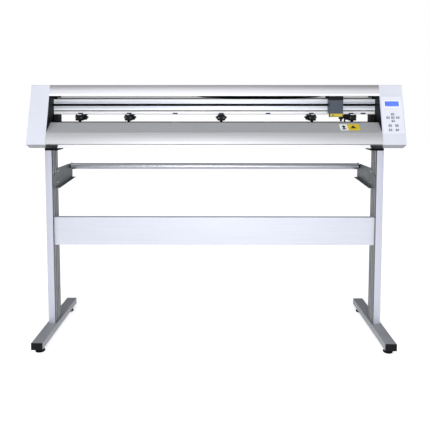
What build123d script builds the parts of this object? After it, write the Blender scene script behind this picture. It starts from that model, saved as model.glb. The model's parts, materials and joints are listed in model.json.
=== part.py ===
from build123d import *
import math
import os

# Vinyl cutter on its floor stand, in millimetres.
# X runs along the head, Y to the rear, Z up. The sizes below are drawn about the middle of the
# head's opening; the written pieces have their origin on the floor under the middle of the whole.

# ---- stand ----
foot_low_z = 22.0
foot_high = 30.0
foot_wide = 48.0
foot_long = 545.0
foot_wall = 3.0
plug_thick = 3.0
plug_insert = 15.0
leveler_y = 228.0
leveler_radius = 20.0
leveler_thick = 8.0
leveler_nut = 9.0
leveler_nut_high = 6.0
leveler_stud = 5.0
leveler_stud_gap = 0.3
leveler_stud_in = 14.0      # how far the stud reaches into the foot bar
column_long = 782.0
column_wide = 30.0
column_front_y = -61.0
column_deep = 92.0
column_out = 26.5           # the column's outer face stands this far outside the head's opening
column_wall = 4.5
column_groove = 9.0
column_groove_deep = 2.0
column_groove_pitch = 24.0
column_round = 2.0
bracket_high = 13.0
bracket_wide = 57.0
bracket_wall = 4.0
crossbar_back = 14.6        # set back from the columns' front faces
crossbar_deep = 30.0
crossbar_up = 356.0         # above the foot bars
crossbar_high = 125.0
crossbar_wall = 2.5
crossbar_groove = 1.6
crossbar_grooves = 14
roll_y = 225.0
roll_down = 100.0           # rod's centre below the columns' tops
roll_radius = 15.0
roll_wall = 2.0
roll_end_gap = 7.0
roll_journal = 9.0
roll_journal_gap = 0.3
roll_journal_out = 5.0
cradle_sheet = 2.5
cradle_front_y = -10.0
cradle_rear_y = 268.0
cradle_drop = (75.0, 60.0)  # lower edge below the rod's centre, at the front and the rear
cradle_rise = 14.0
cradle_flange = 18.0

# ---- head, overall: heights are above the head's underside ----
opening_half = 719.5        # from the middle to each end plate
left_cap_width = 81.5
right_cap_width = 99.5
cap_wall = 3.0
head_rear_y = 120.0
nose_y = -140.3             # lower front edge of the end caps
nose_up = 17.5
undercut_y = -94.0          # where the underside turns flat
crease_y = -66.3            # upper crease of the sloped face
crease_up = 226.8
brow_y = -51.5              # front edge of the top
head_high = 274.0
crown_rear_y = 78.0         # rear edge of the flat top
shoulder_up = 228.0         # where the rear slope meets the rear wall

# ---- covers, base and platen ----
sheet = 2.5                 # thickness of the covers and the platen
base_sheet = 3.0
plate_thick = 3.0           # steel end plates
lower_rear_up = 93.0        # top of the rear wall of the base
rear_window_up = 153.0      # lower edge of the upper rear cover
bed_up = 110.5              # top of the flat bed
bed_front_y = -58.0
bed_rear_y = 96.0
apron_y = -122.0            # front edge of the sloped platen
apron_up = 68.5
front_bulge = 3.0
strip_y = -48.0             # cutting strip, under the tool
strip_wide = 10.0
strip_proud = 0.6
strip_seat = 1.0

# ---- beam: heights are above its own underside ----
beam_depth = 60.0
beam_over_bed = 34.5
beam_high = 68.0
slot_low_up = 37.0          # belt slot
slot_high_up = 48.0
slot_deep = 14.0
groove_low_up = 13.5        # keeper groove
groove_high_up = 18.0
groove_deep = 4.5
beam_wall = 4.0
beam_web_up = 20.0

# ---- media feed ----
feed_y = -14.0              # common line of the feed shaft and the pinch rollers
grit_radius = 11.0
grit_proud = 1.5
shaft_radius = 6.0
grit_wide = 30.0
grit_at = (-600.0, -381.0, -175.0, 32.0, 242.0, 436.0, 614.0, 667.0)
grit_slot_margin = 2.0
journal_fit = 0.08          # radial running clearance of every shaft
roll_gap = 0.4              # between facing rollers
pinch_at = (-600.0, -381.0, 32.0, 436.0, 614.0)
pinch_radius = 7.5
pinch_wide = 12.0
pinch_axle = 2.0
pinch_slot_gap = 0.8
pinch_bar_back = 20.0       # behind the beam's rear face
pinch_bar_up = 6.0          # above the beam's underside
pinch_bar_radius = 6.0
pinch_hub_radius = 10.0
pinch_hub_half = 12.0
pinch_head_half = 15.5
pinch_head_front_y = -34.0
pinch_head_rear_y = -3.0
pinch_head_over_bed = 7.0
pinch_head_down = 2.0       # below the beam's underside
pinch_head_round = 3.0
pinch_body_half = 26.5      # the arm's widest part, under the beam
pinch_body_shoulder = 17.0  # half width of its top and its underside
pinch_body_y = (2.0, 44.0)
pinch_body_over_bed = 9.5
pinch_body_waist = 6.0      # widest line, below its top
shank_half = 9.0
shank_thick = 12.0
shank_down = 6.0            # below the beam's underside
lift_tab_out = 6.0          # past the rear cover
lift_tab_half = 16.0
lift_tab_round = 9.0
lift_tab_thick = 5.0

# ---- carriage drive ----
pulley_radius = 11.7
pulley_rim = 3.3
flange_thick = 1.2
belt_gap = 0.3
belt_thick = 1.5
belt_height = 9.0
belt_back = 2.5             # front run of the belt behind the beam's face
motor_side = 57.0
motor_long = 56.0
motor_shaft_radius = 3.2
motor_shaft_deep = 12.0
motor_down = 7.0            # motor's top below the belt slot
idler_shelf_margin = 15.5
beam_foot_wide = 15.5       # blocks that carry the beam's ends
beam_foot_deep = 18.0
beam_foot_margin = 2.0

# ---- carriage ----
carriage_x = 535.0
carriage_half = 29.0
cover_front_y = -60.0
cover_down = 11.0           # cover's lower edge below the beam's underside
cover_step_up = 7.0
cover_step_y = -40.0
cover_over_beam = 11.0
cover_wall = 2.0
carriage_gap = 0.5
carrier_thick = 13.0
carrier_up = 8.0
hook_thick = 5.0
hook_reach = 12.0
tool_x = 558.0
tool_y = -48.0
tool_block = 17.0
tool_block_over_bed = 14.5
tool_block_high = 22.0
tool_stem_high = 46.0       # above the tool block
tool_stem_wide = 13.0
tool_stem_gap = 2.0
holder_radius = 5.0
holder_over_bed = 5.0
holder_long = 37.5
holder_cap = 5.6
holder_cap_high = 5.0
blade_radius = 1.0
blade_out = 1.5
tool_lift = 4.0
knob_radius = 8.0
knob_long = 15.0
knob_screw = 2.5
knob_screw_gap = 0.1
knob_neck = 1.5

# ---- ribbon cable ----
ribbon_wide = 20.0
ribbon_thick = 1.0
ribbon_y = 24.0
ribbon_over_beam = 4.0
ribbon_start_x = -103.0
ribbon_end_x = 500.0
ribbon_post = 18.0

# ---- control panel: heights run up the slope from the platen's front edge ----
overlay_thick = 1.2
overlay_margin = 5.0
overlay_low = -4.0
overlay_high = 164.0
window_wide = 61.5
window_tall = 24.5
window_up = 130.0
key_gap = 0.4
key_wide = 13.0
key_tall = 9.0
key_proud = 1.5
key_flange = 1.5
key_flange_thick = 1.5
key_round = 1.5
key_pitch_x = 21.0
key_pitch_up = 15.4
cross_up = 67.5
pair_pitch_x = 28.5
pair_up = (31.6, 11.8)

# ---- electrics ----
inlet_up = 53.0
inlet_wide = 50.0
inlet_tall = 28.0
inlet_flange = 2.0
inlet_deep = 25.0
inlet_lip = 3.0
socket_wide = 22.0
socket_tall = 15.0
socket_deep = 16.0
socket_off = -11.0
pin_wide = 2.0
pin_tall = 4.0
pin_pitch = 7.0
pin_recess = 10.0
rocker_off = 14.0
rocker_wide = 13.0
rocker_tall = 18.0
rocker_gap = 0.5
rocker_proud = 3.0
rocker_back = 12.0
rocker_axle = 1.5
board_thick = 1.6
board_y = (-50.0, 96.0)
board_up = (21.0, 183.0)
board_stand_off = 10.0
board_post = 4.0
chip = 22.0
chip_thick = 3.0

# ---- values worked out from the sizes above ----
middle_x = (right_cap_width - left_cap_width) / 2
column_outer = opening_half + column_out
column_inner = column_outer - column_wide
column_mid = column_outer - column_wide / 2
column_base_z = foot_low_z + foot_high
column_top_z = column_base_z + column_long
crossbar_front_y = column_front_y + crossbar_back
crossbar_low_z = column_base_z + crossbar_up
crossbar_high_z = crossbar_low_z + crossbar_high
roll_z = column_top_z - roll_down
cradle_low_z = (roll_z - cradle_drop[0], roll_z - cradle_drop[1])
cradle_high_z = roll_z + cradle_rise

head_bottom_z = column_top_z + bracket_high
nose_z = head_bottom_z + nose_up
crease_z = head_bottom_z + crease_up
head_top_z = head_bottom_z + head_high
shoulder_z = head_bottom_z + shoulder_up
lower_rear_z = head_bottom_z + lower_rear_up
rear_window_z = head_bottom_z + rear_window_up
bed_z = head_bottom_z + bed_up
apron_z = head_bottom_z + apron_up
apron_slope = math.atan2(bed_z - apron_z, bed_front_y - apron_y)
slope_angle = math.atan2(crease_z - nose_z, crease_y - nose_y)

beam_bottom_z = bed_z + beam_over_bed
beam_top_z = beam_bottom_z + beam_high
slot_low_z = beam_bottom_z + slot_low_up
slot_high_z = beam_bottom_z + slot_high_up
groove_low_z = beam_bottom_z + groove_low_up
groove_high_z = beam_bottom_z + groove_high_up
beam_web_z = beam_bottom_z + beam_web_up

shaft_z = bed_z + grit_proud - grit_radius
pinch_z = bed_z + grit_proud + roll_gap + pinch_radius
pinch_bar_y = beam_depth + pinch_bar_back
pinch_bar_z = beam_bottom_z + pinch_bar_up
pinch_head_low_z = bed_z + pinch_head_over_bed
pinch_head_high_z = beam_bottom_z - pinch_head_down
shank_high_z = beam_bottom_z - shank_down
shank_low_z = shank_high_z - shank_thick
lift_tab_end_y = head_rear_y + lift_tab_out

plate_out = opening_half + plate_thick
belt_z = (slot_low_z + slot_high_z) / 2
belt_inner = pulley_radius + belt_gap
pulley_x = plate_out + motor_side / 2
pulley_y = belt_back + belt_thick + belt_inner
pulley_flange = pulley_radius + pulley_rim
motor_top_z = slot_low_z - motor_down
idler_shelf_long = motor_side / 2 + idler_shelf_margin

cover_low_z = beam_bottom_z - cover_down
cover_step_z = beam_bottom_z + cover_step_up
cover_top_z = beam_top_z + cover_over_beam
carrier_low_z = beam_bottom_z + carrier_up
tool_block_low_z = bed_z + tool_block_over_bed
tool_block_high_z = tool_block_low_z + tool_block_high
tool_stem_high_z = tool_block_high_z + tool_stem_high
holder_low_z = bed_z + holder_over_bed
holder_high_z = holder_low_z + holder_long
ribbon_z = beam_top_z + ribbon_over_beam

key_column = opening_half + right_cap_width / 2
inlet_x = opening_half + right_cap_width / 2
inlet_z = head_bottom_z + inlet_up
board_z = (head_bottom_z + board_up[0], head_bottom_z + board_up[1])
head_outline = (
    (nose_y, nose_z),
    (crease_y, crease_z),
    (brow_y, head_top_z),
    (crown_rear_y, head_top_z),
    (head_rear_y, shoulder_z),
    (head_rear_y, head_bottom_z),
    (undercut_y, head_bottom_z),
)
apron_plane = Plane(
    origin=(0, nose_y + (apron_z - nose_z) / math.tan(slope_angle), apron_z),
    x_dir=(1, 0, 0),
    z_dir=(0, -math.sin(slope_angle), math.cos(slope_angle)),
)


def finish(piece, label):
    """Bring a finished piece under the origin of the whole, name it and write it."""
    placed = piece.part.moved(Location((-middle_x, 0, 0)))
    placed.label = label
    export_step(placed, "parts/" + label + ".step")


def slab(x, y, z, mode=Mode.ADD):
    """A box between two limits on each axis."""
    with Locations(((x[0] + x[1]) / 2, (y[0] + y[1]) / 2, (z[0] + z[1]) / 2)):
        Box(abs(x[1] - x[0]), abs(y[1] - y[0]), abs(z[1] - z[0]), mode=mode)


def round_bar(axis, start, end, at, radius, mode=Mode.ADD):
    """A cylinder along one axis, from start to end, at two coordinates on the other axes."""
    middle = (start + end) / 2
    place, turn = {
        "x": ((middle, at[0], at[1]), (0, 90, 0)),
        "y": ((at[0], middle, at[1]), (90, 0, 0)),
        "z": ((at[0], at[1], middle), (0, 0, 0)),
    }[axis]
    with Locations(place):
        Cylinder(radius, abs(end - start), rotation=turn, mode=mode)


def side_profile(points, start, end, mode=Mode.ADD):
    """A closed outline in the Y-Z plane, run along X from start to end."""
    with BuildSketch(Plane.YZ.offset(min(start, end))) as outline:
        with BuildLine():
            Polyline(*points, close=True)
        make_face()
    extrude(outline.sketch, amount=abs(end - start), mode=mode)


def sheet_profile(points, thickness, side, start, end):
    """A folded sheet: a line in the Y-Z plane, given a thickness, run along X."""
    with BuildSketch(Plane.YZ.offset(min(start, end))) as outline:
        with BuildLine():
            Polyline(*points)
            offset(amount=thickness, side=side)
        make_face()
    extrude(outline.sketch, amount=abs(end - start))


def inner_profile(wall, start, end, mode=Mode.ADD):
    """The head's outline, drawn in by a wall, run along X from start to end."""
    with BuildSketch(Plane.YZ.offset(min(start, end))) as outline:
        with BuildLine():
            Polyline(*head_outline, close=True)
        make_face()
        offset(amount=-wall, kind=Kind.INTERSECTION)
    extrude(outline.sketch, amount=abs(end - start), mode=mode)


def on_slope(x, up):
    """The plane of the sloped face, moved to a point x along it and up it."""
    return apron_plane.shift_origin(apron_plane.from_local_coords(Vector(x, up, 0)))


key_places = {
    "key_up": (key_column, cross_up + key_pitch_up),
    "key_down": (key_column, cross_up - key_pitch_up),
    "key_left": (key_column - key_pitch_x, cross_up),
    "key_right": (key_column + key_pitch_x, cross_up),
    "key_enter": (key_column, cross_up),
    "key_speed": (key_column - pair_pitch_x / 2, pair_up[0]),
    "key_force": (key_column + pair_pitch_x / 2, pair_up[0]),
    "key_pause": (key_column - pair_pitch_x / 2, pair_up[1]),
    "key_reset": (key_column + pair_pitch_x / 2, pair_up[1]),
}

os.makedirs("parts", exist_ok=True)


# ---- stand: columns, foot bars, plugs, levelling feet, brackets, crossbar ----
def build_column(side, label):
    """A hollow extruded column with three shallow grooves down each side face."""
    with BuildPart() as column:
        with BuildSketch(Plane.XY.offset(column_base_z)):
            with Locations((side * column_mid, column_front_y + column_deep / 2)):
                RectangleRounded(column_wide, column_deep, column_round)
                Rectangle(
                    column_wide - 2 * column_wall, column_deep - 2 * column_wall, mode=Mode.SUBTRACT
                )
            for face in (-1, 1):
                groove_x = side * column_mid + face * (column_wide - column_groove_deep) / 2
                with Locations((groove_x, column_front_y + column_deep / 2)):
                    with GridLocations(0, column_groove_pitch, 1, 3):
                        Rectangle(column_groove_deep, column_groove, mode=Mode.SUBTRACT)
        extrude(amount=column_long)
    finish(column, label)


def build_foot_bar(side, label):
    """A rectangular tube with two holes in its underside for the levelling studs."""
    half = foot_long / 2 - plug_thick
    with BuildPart() as bar:
        with BuildSketch(Plane.XZ.offset(-half)):
            with Locations((side * column_mid, foot_low_z + foot_high / 2)):
                RectangleRounded(foot_wide, foot_high, column_round)
                Rectangle(foot_wide - 2 * foot_wall, foot_high - 2 * foot_wall, mode=Mode.SUBTRACT)
        extrude(amount=2 * half)
        for y in (-leveler_y, leveler_y):
            round_bar(
                "z",
                foot_low_z,
                foot_low_z + foot_wall,
                (side * column_mid, y),
                leveler_stud + leveler_stud_gap,
                mode=Mode.SUBTRACT,
            )
    finish(bar, label)


build_column(-1, "left_column")
build_column(1, "right_column")
build_foot_bar(-1, "left_foot_bar")
build_foot_bar(1, "right_foot_bar")

with BuildPart() as plugs:
    for side in (-1, 1):
        for end in (-1, 1):
            face_y = end * foot_long / 2
            shoulder_y = face_y - end * plug_thick
            mid_x = side * column_mid
            slab(
                (mid_x - foot_wide / 2, mid_x + foot_wide / 2),
                (shoulder_y, face_y),
                (foot_low_z, foot_low_z + foot_high),
            )
            slab(
                (mid_x - foot_wide / 2 + foot_wall, mid_x + foot_wide / 2 - foot_wall),
                (shoulder_y - end * plug_insert, shoulder_y),
                (foot_low_z + foot_wall, foot_low_z + foot_high - foot_wall),
            )
finish(plugs, "foot_end_plugs")

with BuildPart() as levelers:
    for side in (-1, 1):
        for y in (-leveler_y, leveler_y):
            place = (side * column_mid, y)
            round_bar("z", 0, leveler_thick, place, leveler_radius)
            round_bar("z", leveler_thick, foot_low_z + leveler_stud_in, place, leveler_stud)
            with BuildSketch(Plane.XY.offset(foot_low_z - leveler_nut_high)):
                with Locations(place):
                    RegularPolygon(leveler_nut, 6)
            extrude(amount=leveler_nut_high)
finish(levelers, "leveling_feet")

with BuildPart() as brackets:
    for side in (-1, 1):
        outer = side * column_outer
        inner = side * (column_outer - bracket_wide)
        depth = (column_front_y, column_front_y + column_deep)
        slab((outer, inner), depth, (column_top_z, head_bottom_z))
        slab(
            (outer - side * bracket_wall, inner),
            depth,
            (column_top_z + bracket_wall, head_bottom_z - bracket_wall),
            mode=Mode.SUBTRACT,
        )
finish(brackets, "column_brackets")

with BuildPart() as crossbar:
    with BuildSketch(Plane.YZ.offset(-column_inner)):
        with Locations(
            (crossbar_front_y + crossbar_deep / 2, (crossbar_low_z + crossbar_high_z) / 2)
        ):
            RectangleRounded(crossbar_deep, crossbar_high, column_round)
            Rectangle(
                crossbar_deep - 2 * crossbar_wall,
                crossbar_high - 2 * crossbar_wall,
                mode=Mode.SUBTRACT,
            )
        groove_pitch = crossbar_high / (crossbar_grooves + 1)
        with Locations(
            (crossbar_front_y + crossbar_groove / 4, (crossbar_low_z + crossbar_high_z) / 2)
        ):
            with GridLocations(0, groove_pitch, 1, crossbar_grooves):
                Rectangle(crossbar_groove / 2, crossbar_groove, mode=Mode.SUBTRACT)
    extrude(amount=2 * column_inner)
finish(crossbar, "crossbar")


# ---- stand: media roll cradles and rod ----
def build_cradle(side, label):
    """A folded plate on the column's inner face, with an open seat for the rod's end."""
    outer = side * column_inner
    seat = roll_journal + roll_journal_gap
    low_front = (cradle_front_y, cradle_low_z[0])
    low_rear = (cradle_rear_y, cradle_low_z[1])
    with BuildPart() as cradle:
        side_profile(
            (low_front, low_rear, (cradle_rear_y, cradle_high_z), (cradle_front_y, cradle_high_z)),
            outer,
            outer - side * cradle_sheet,
        )
        side_profile(
            (
                low_front,
                low_rear,
                (low_rear[0], low_rear[1] + cradle_sheet),
                (low_front[0], low_front[1] + cradle_sheet),
            ),
            outer,
            outer - side * cradle_flange,
        )
        round_bar(
            "x", outer, outer - side * cradle_sheet, (roll_y, roll_z), seat, mode=Mode.SUBTRACT
        )
        slab(
            (outer, outer - side * cradle_sheet),
            (roll_y - seat, roll_y + seat),
            (roll_z, cradle_high_z),
            mode=Mode.SUBTRACT,
        )
    finish(cradle, label)


build_cradle(-1, "left_roll_bracket")
build_cradle(1, "right_roll_bracket")

tube_half = column_inner - cradle_sheet - roll_end_gap
with BuildPart() as rod:
    round_bar("x", -tube_half, tube_half, (roll_y, roll_z), roll_radius)
    round_bar(
        "x", -tube_half, tube_half, (roll_y, roll_z), roll_radius - roll_wall, mode=Mode.SUBTRACT
    )
    for side in (-1, 1):
        journal_end = side * (column_inner + roll_journal_out)
        round_bar("x", side * (tube_half - plug_insert), journal_end, (roll_y, roll_z), roll_journal)
        round_bar(
            "x",
            side * (tube_half - plug_insert),
            side * tube_half,
            (roll_y, roll_z),
            roll_radius - roll_wall,
        )
finish(rod, "roll_rod")


# ---- head: end caps ----
def cap_shell(side, width):
    """One end cap: the head's outline as a shell, open towards the middle."""
    inner_x = side * opening_half
    outer_x = side * (opening_half + width)
    side_profile(head_outline, inner_x, outer_x)
    fillet(edges().filter_by(Axis.X).group_by(Axis.Z)[-1], cap_wall)
    inner_profile(cap_wall, inner_x, outer_x - side * cap_wall, mode=Mode.SUBTRACT)


with BuildPart() as left_cap:
    cap_shell(-1, left_cap_width)
finish(left_cap, "left_end_cap")

with BuildPart() as right_cap:
    cap_shell(1, right_cap_width)
    for x, up in key_places.values():
        with BuildSketch(on_slope(x, up)):
            Rectangle(key_wide + 2 * key_gap, key_tall + 2 * key_gap)
        extrude(amount=-2 * cap_wall, mode=Mode.SUBTRACT)
    slab(
        (inlet_x - inlet_wide / 2 + inlet_lip, inlet_x + inlet_wide / 2 - inlet_lip),
        (head_rear_y - 2 * cap_wall, head_rear_y + cap_wall),
        (inlet_z - inlet_tall / 2 + inlet_lip, inlet_z + inlet_tall / 2 - inlet_lip),
        mode=Mode.SUBTRACT,
    )
finish(right_cap, "right_end_cap")


# ---- head: end plates ----
def plate_blank(side):
    """A plate that closes an end cap, with a window for the belt and a foot for the beam."""
    inner_profile(cap_wall, side * opening_half, side * plate_out)
    slab(
        (side * opening_half, side * (opening_half - beam_foot_wide)),
        (beam_foot_margin, beam_foot_margin + beam_foot_deep),
        (bed_z, beam_bottom_z),
    )
    slab(
        (side * opening_half, side * plate_out),
        (pulley_y - belt_inner - 2 * belt_thick, pulley_y + belt_inner + 2 * belt_thick),
        (slot_low_z, slot_high_z),
        mode=Mode.SUBTRACT,
    )
    round_bar(
        "x",
        side * opening_half,
        side * plate_out,
        (feed_y, shaft_z),
        shaft_radius + journal_fit,
        mode=Mode.SUBTRACT,
    )


idler_seat_z = motor_top_z - plate_thick
with BuildPart() as left_plate:
    plate_blank(-1)
    slab(
        (-plate_out, -plate_out - idler_shelf_long),
        (pulley_y - pulley_flange, pulley_y + pulley_flange),
        (idler_seat_z, motor_top_z),
    )
    round_bar("z", motor_top_z, slot_high_z, (-pulley_x, pulley_y), motor_shaft_radius)
finish(left_plate, "left_end_plate")

with BuildPart() as right_plate:
    plate_blank(1)
finish(right_plate, "right_end_plate")

# ---- head: base, covers, platen, cutting strip ----
span = (-opening_half, opening_half)
leg_top_z = apron_z + (undercut_y - apron_y) / (bed_front_y - apron_y) * (bed_z - apron_z)
with BuildPart() as base:
    slab(span, (undercut_y, head_rear_y), (head_bottom_z, head_bottom_z + base_sheet))
    slab(span, (head_rear_y - base_sheet, head_rear_y), (head_bottom_z, lower_rear_z))
    slab(
        span,
        (undercut_y, undercut_y + base_sheet),
        (head_bottom_z, leg_top_z - 2 * sheet),
    )
finish(base, "base_channel")

with BuildPart() as top_cover:
    sheet_profile(
        (
            (crease_y, crease_z),
            (brow_y, head_top_z),
            (crown_rear_y, head_top_z),
            (head_rear_y, shoulder_z),
        ),
        sheet,
        Side.RIGHT,
        *span,
    )
    brow_edges = edges().filter_by(Axis.X).group_by(Axis.Z)[-1].sort_by(Axis.Y)
    fillet(brow_edges[0], 2 * sheet)
finish(top_cover, "top_cover")

with BuildPart() as rear_cover:
    slab(span, (head_rear_y - sheet, head_rear_y), (rear_window_z, shoulder_z - 2 * sheet))
finish(rear_cover, "rear_cover")

with BuildPart() as front_cover:
    with BuildSketch(Plane.YZ.offset(-opening_half)):
        with BuildLine():
            SagittaArc((apron_y, apron_z), (nose_y, nose_z), -front_bulge)
            Polyline(
                (nose_y, nose_z),
                (undercut_y, head_bottom_z),
                (undercut_y, head_bottom_z + sheet),
                (nose_y + sheet, nose_z + sheet),
                (
                    apron_y + sheet * math.sin(apron_slope),
                    apron_z - sheet * math.cos(apron_slope),
                ),
                (apron_y, apron_z),
            )
        make_face()
    extrude(amount=2 * opening_half)
finish(front_cover, "front_cover")

with BuildPart() as platen:
    sheet_profile(
        (
            (apron_y, apron_z),
            (bed_front_y, bed_z),
            (bed_rear_y, bed_z),
            (head_rear_y - base_sheet, lower_rear_z),
        ),
        sheet,
        Side.RIGHT,
        *span,
    )
    for x in grit_at:
        slab(
            (x - grit_wide / 2 - grit_slot_margin, x + grit_wide / 2 + grit_slot_margin),
            (feed_y - grit_radius, feed_y + grit_radius),
            (bed_z - 2 * sheet, bed_z + sheet),
            mode=Mode.SUBTRACT,
        )
    slab(
        span,
        (strip_y - strip_wide / 2, strip_y + strip_wide / 2),
        (bed_z - strip_seat, bed_z),
        mode=Mode.SUBTRACT,
    )
finish(platen, "platen")

with BuildPart() as strip:
    slab(
        span,
        (strip_y - strip_wide / 2, strip_y + strip_wide / 2),
        (bed_z - strip_seat, bed_z + strip_proud),
    )
finish(strip, "cutting_strip")

# ---- head: beam ----
with BuildPart() as beam:
    with BuildSketch(Plane.YZ.offset(-opening_half)):
        with Locations((beam_depth / 2, (beam_bottom_z + beam_top_z) / 2)):
            Rectangle(beam_depth, beam_high)
        with Locations((slot_deep / 2, (slot_low_z + slot_high_z) / 2)):
            Rectangle(slot_deep, slot_high_z - slot_low_z, mode=Mode.SUBTRACT)
        with Locations((groove_deep / 2, (groove_low_z + groove_high_z) / 2)):
            Rectangle(groove_deep, groove_high_z - groove_low_z, mode=Mode.SUBTRACT)
        room_front = slot_deep + beam_wall
        room_rear = beam_depth - beam_wall
        with Locations(
            ((room_front + room_rear) / 2, (beam_web_z + beam_top_z - beam_wall) / 2)
        ):
            Rectangle(
                room_rear - room_front, beam_top_z - beam_wall - beam_web_z, mode=Mode.SUBTRACT
            )
        low_front = groove_deep + beam_wall
        low_top = beam_web_z - beam_wall
        with Locations(((low_front + room_rear) / 2, (beam_bottom_z + beam_wall + low_top) / 2)):
            Rectangle(room_rear - low_front, low_top - beam_bottom_z - beam_wall, mode=Mode.SUBTRACT)
    extrude(amount=2 * opening_half)
finish(beam, "main_beam")

# ---- media feed: shaft, motor, pinch bar, arms and rollers ----
feed_motor_x = -plate_out - roll_gap
with BuildPart() as shaft:
    round_bar("x", feed_motor_x - motor_shaft_deep, plate_out, (feed_y, shaft_z), shaft_radius)
    for x in grit_at:
        round_bar("x", x - grit_wide / 2, x + grit_wide / 2, (feed_y, shaft_z), grit_radius)
finish(shaft, "grit_shaft")

with BuildPart() as feed_motor:
    slab(
        (-plate_out, -plate_out - motor_long),
        (feed_y - motor_side / 2, feed_y + motor_side / 2),
        (shaft_z - motor_side / 2, shaft_z + motor_side / 2),
    )
    fillet(edges().filter_by(Axis.X), cap_wall)
    round_bar(
        "x",
        -plate_out,
        -plate_out - 2 * motor_shaft_deep,
        (feed_y, shaft_z),
        shaft_radius + journal_fit,
        mode=Mode.SUBTRACT,
    )
finish(feed_motor, "feed_motor")

with BuildPart() as pinch_bar:
    round_bar("x", -opening_half, opening_half, (pinch_bar_y, pinch_bar_z), pinch_bar_radius)
finish(pinch_bar, "pinch_bar")


def build_pinch_arm(x, label):
    """A pinch arm: head with a roller slot, wide body under the beam, pivot hub, lift tab."""
    arm_side = (
        (pinch_head_rear_y, shank_low_z),
        (beam_depth + beam_wall / 2, shank_low_z),
        (pinch_bar_y + pinch_hub_radius, pinch_bar_z - pinch_hub_radius / 2),
        (pinch_bar_y + pinch_hub_radius / 2, pinch_bar_z + pinch_hub_radius * 3 / 4),
        (pinch_bar_y - pinch_hub_radius * 3 / 4, pinch_bar_z + pinch_hub_radius / 2),
        (beam_depth + beam_wall, shank_high_z),
        (pinch_head_rear_y, shank_high_z),
    )
    wheel_room = pinch_radius + 2 * pinch_slot_gap
    with BuildPart() as arm:
        slab(
            (x - pinch_head_half, x + pinch_head_half),
            (pinch_head_front_y, pinch_head_rear_y),
            (pinch_head_low_z, pinch_head_high_z),
        )
        fillet(edges().filter_by(Axis.X), pinch_head_round)
        fillet(edges().filter_by(Axis.Z), pinch_head_round)
        with BuildSketch(Plane.XZ.offset(-pinch_body_y[1])) as body_front:
            with BuildLine():
                Polyline(
                    (x - pinch_body_shoulder, shank_high_z),
                    (x + pinch_body_shoulder, shank_high_z),
                    (x + pinch_body_half, shank_high_z - pinch_body_waist),
                    (x + pinch_body_shoulder, bed_z + pinch_body_over_bed),
                    (x - pinch_body_shoulder, bed_z + pinch_body_over_bed),
                    (x - pinch_body_half, shank_high_z - pinch_body_waist),
                    close=True,
                )
            make_face()
        extrude(body_front.sketch, amount=pinch_body_y[1] - pinch_body_y[0])
        side_profile(arm_side, x - shank_half, x + shank_half)
        round_bar(
            "x",
            x - pinch_hub_half,
            x + pinch_hub_half,
            (pinch_bar_y, pinch_bar_z),
            pinch_hub_radius,
        )
        with BuildSketch(Plane.XY.offset(pinch_bar_z - lift_tab_thick * 3 / 2)) as tab:
            tab_start_y = pinch_bar_y + pinch_bar_radius + pinch_slot_gap
            with Locations((x, (tab_start_y + lift_tab_end_y) / 2)):
                RectangleRounded(2 * lift_tab_half, lift_tab_end_y - tab_start_y, lift_tab_round)
        extrude(tab.sketch, amount=lift_tab_thick)
        slab(
            (x - pinch_wide / 2 - pinch_slot_gap, x + pinch_wide / 2 + pinch_slot_gap),
            (feed_y - wheel_room, feed_y + wheel_room),
            (pinch_head_low_z, pinch_z + wheel_room),
            mode=Mode.SUBTRACT,
        )
        round_bar(
            "x",
            x - pinch_wide,
            x + pinch_wide,
            (feed_y, pinch_z),
            pinch_axle + journal_fit,
            mode=Mode.SUBTRACT,
        )
        round_bar(
            "x",
            x - pinch_hub_half,
            x + pinch_hub_half,
            (pinch_bar_y, pinch_bar_z),
            pinch_bar_radius + journal_fit,
            mode=Mode.SUBTRACT,
        )
    finish(arm, label)


def build_pinch_roller(x, label):
    """A crowned roller with its axle pin."""
    with BuildPart() as roller:
        round_bar("x", x - pinch_wide / 2, x + pinch_wide / 2, (feed_y, pinch_z), pinch_radius)
        chamfer(edges().filter_by(GeomType.CIRCLE), pinch_slot_gap)
        round_bar("x", x - pinch_wide + pinch_slot_gap, x + pinch_wide - pinch_slot_gap,
                  (feed_y, pinch_z), pinch_axle)
    finish(roller, label)


for number, x in enumerate(pinch_at, start=1):
    build_pinch_arm(x, "pinch_arm_" + str(number))
    build_pinch_roller(x, "pinch_roller_" + str(number))


# ---- carriage drive: motor, pulleys, belt ----
def pulley_body(x):
    """A flanged belt pulley on a vertical axis."""
    low = belt_z - belt_height / 2 - belt_gap
    high = belt_z + belt_height / 2 + belt_gap
    round_bar("z", low, high, (x, pulley_y), pulley_radius)
    round_bar("z", low - flange_thick, low, (x, pulley_y), pulley_flange)
    round_bar("z", high, high + flange_thick, (x, pulley_y), pulley_flange)


with BuildPart() as motor:
    slab(
        (plate_out, plate_out + motor_side),
        (pulley_y - motor_side / 2, pulley_y + motor_side / 2),
        (motor_top_z - motor_long, motor_top_z),
    )
    fillet(edges().filter_by(Axis.Z), cap_wall)
    round_bar(
        "z",
        motor_top_z - 2 * motor_shaft_deep,
        motor_top_z,
        (pulley_x, pulley_y),
        motor_shaft_radius + journal_fit,
        mode=Mode.SUBTRACT,
    )
finish(motor, "carriage_motor")

with BuildPart() as drive_pulley:
    pulley_body(pulley_x)
    round_bar(
        "z", motor_top_z - motor_shaft_deep, belt_z, (pulley_x, pulley_y), motor_shaft_radius
    )
finish(drive_pulley, "drive_pulley")

with BuildPart() as idler:
    pulley_body(-pulley_x)
    round_bar(
        "z",
        motor_top_z,
        slot_high_z + flange_thick,
        (-pulley_x, pulley_y),
        motor_shaft_radius + journal_fit,
        mode=Mode.SUBTRACT,
    )
finish(idler, "idler_pulley")

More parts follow.
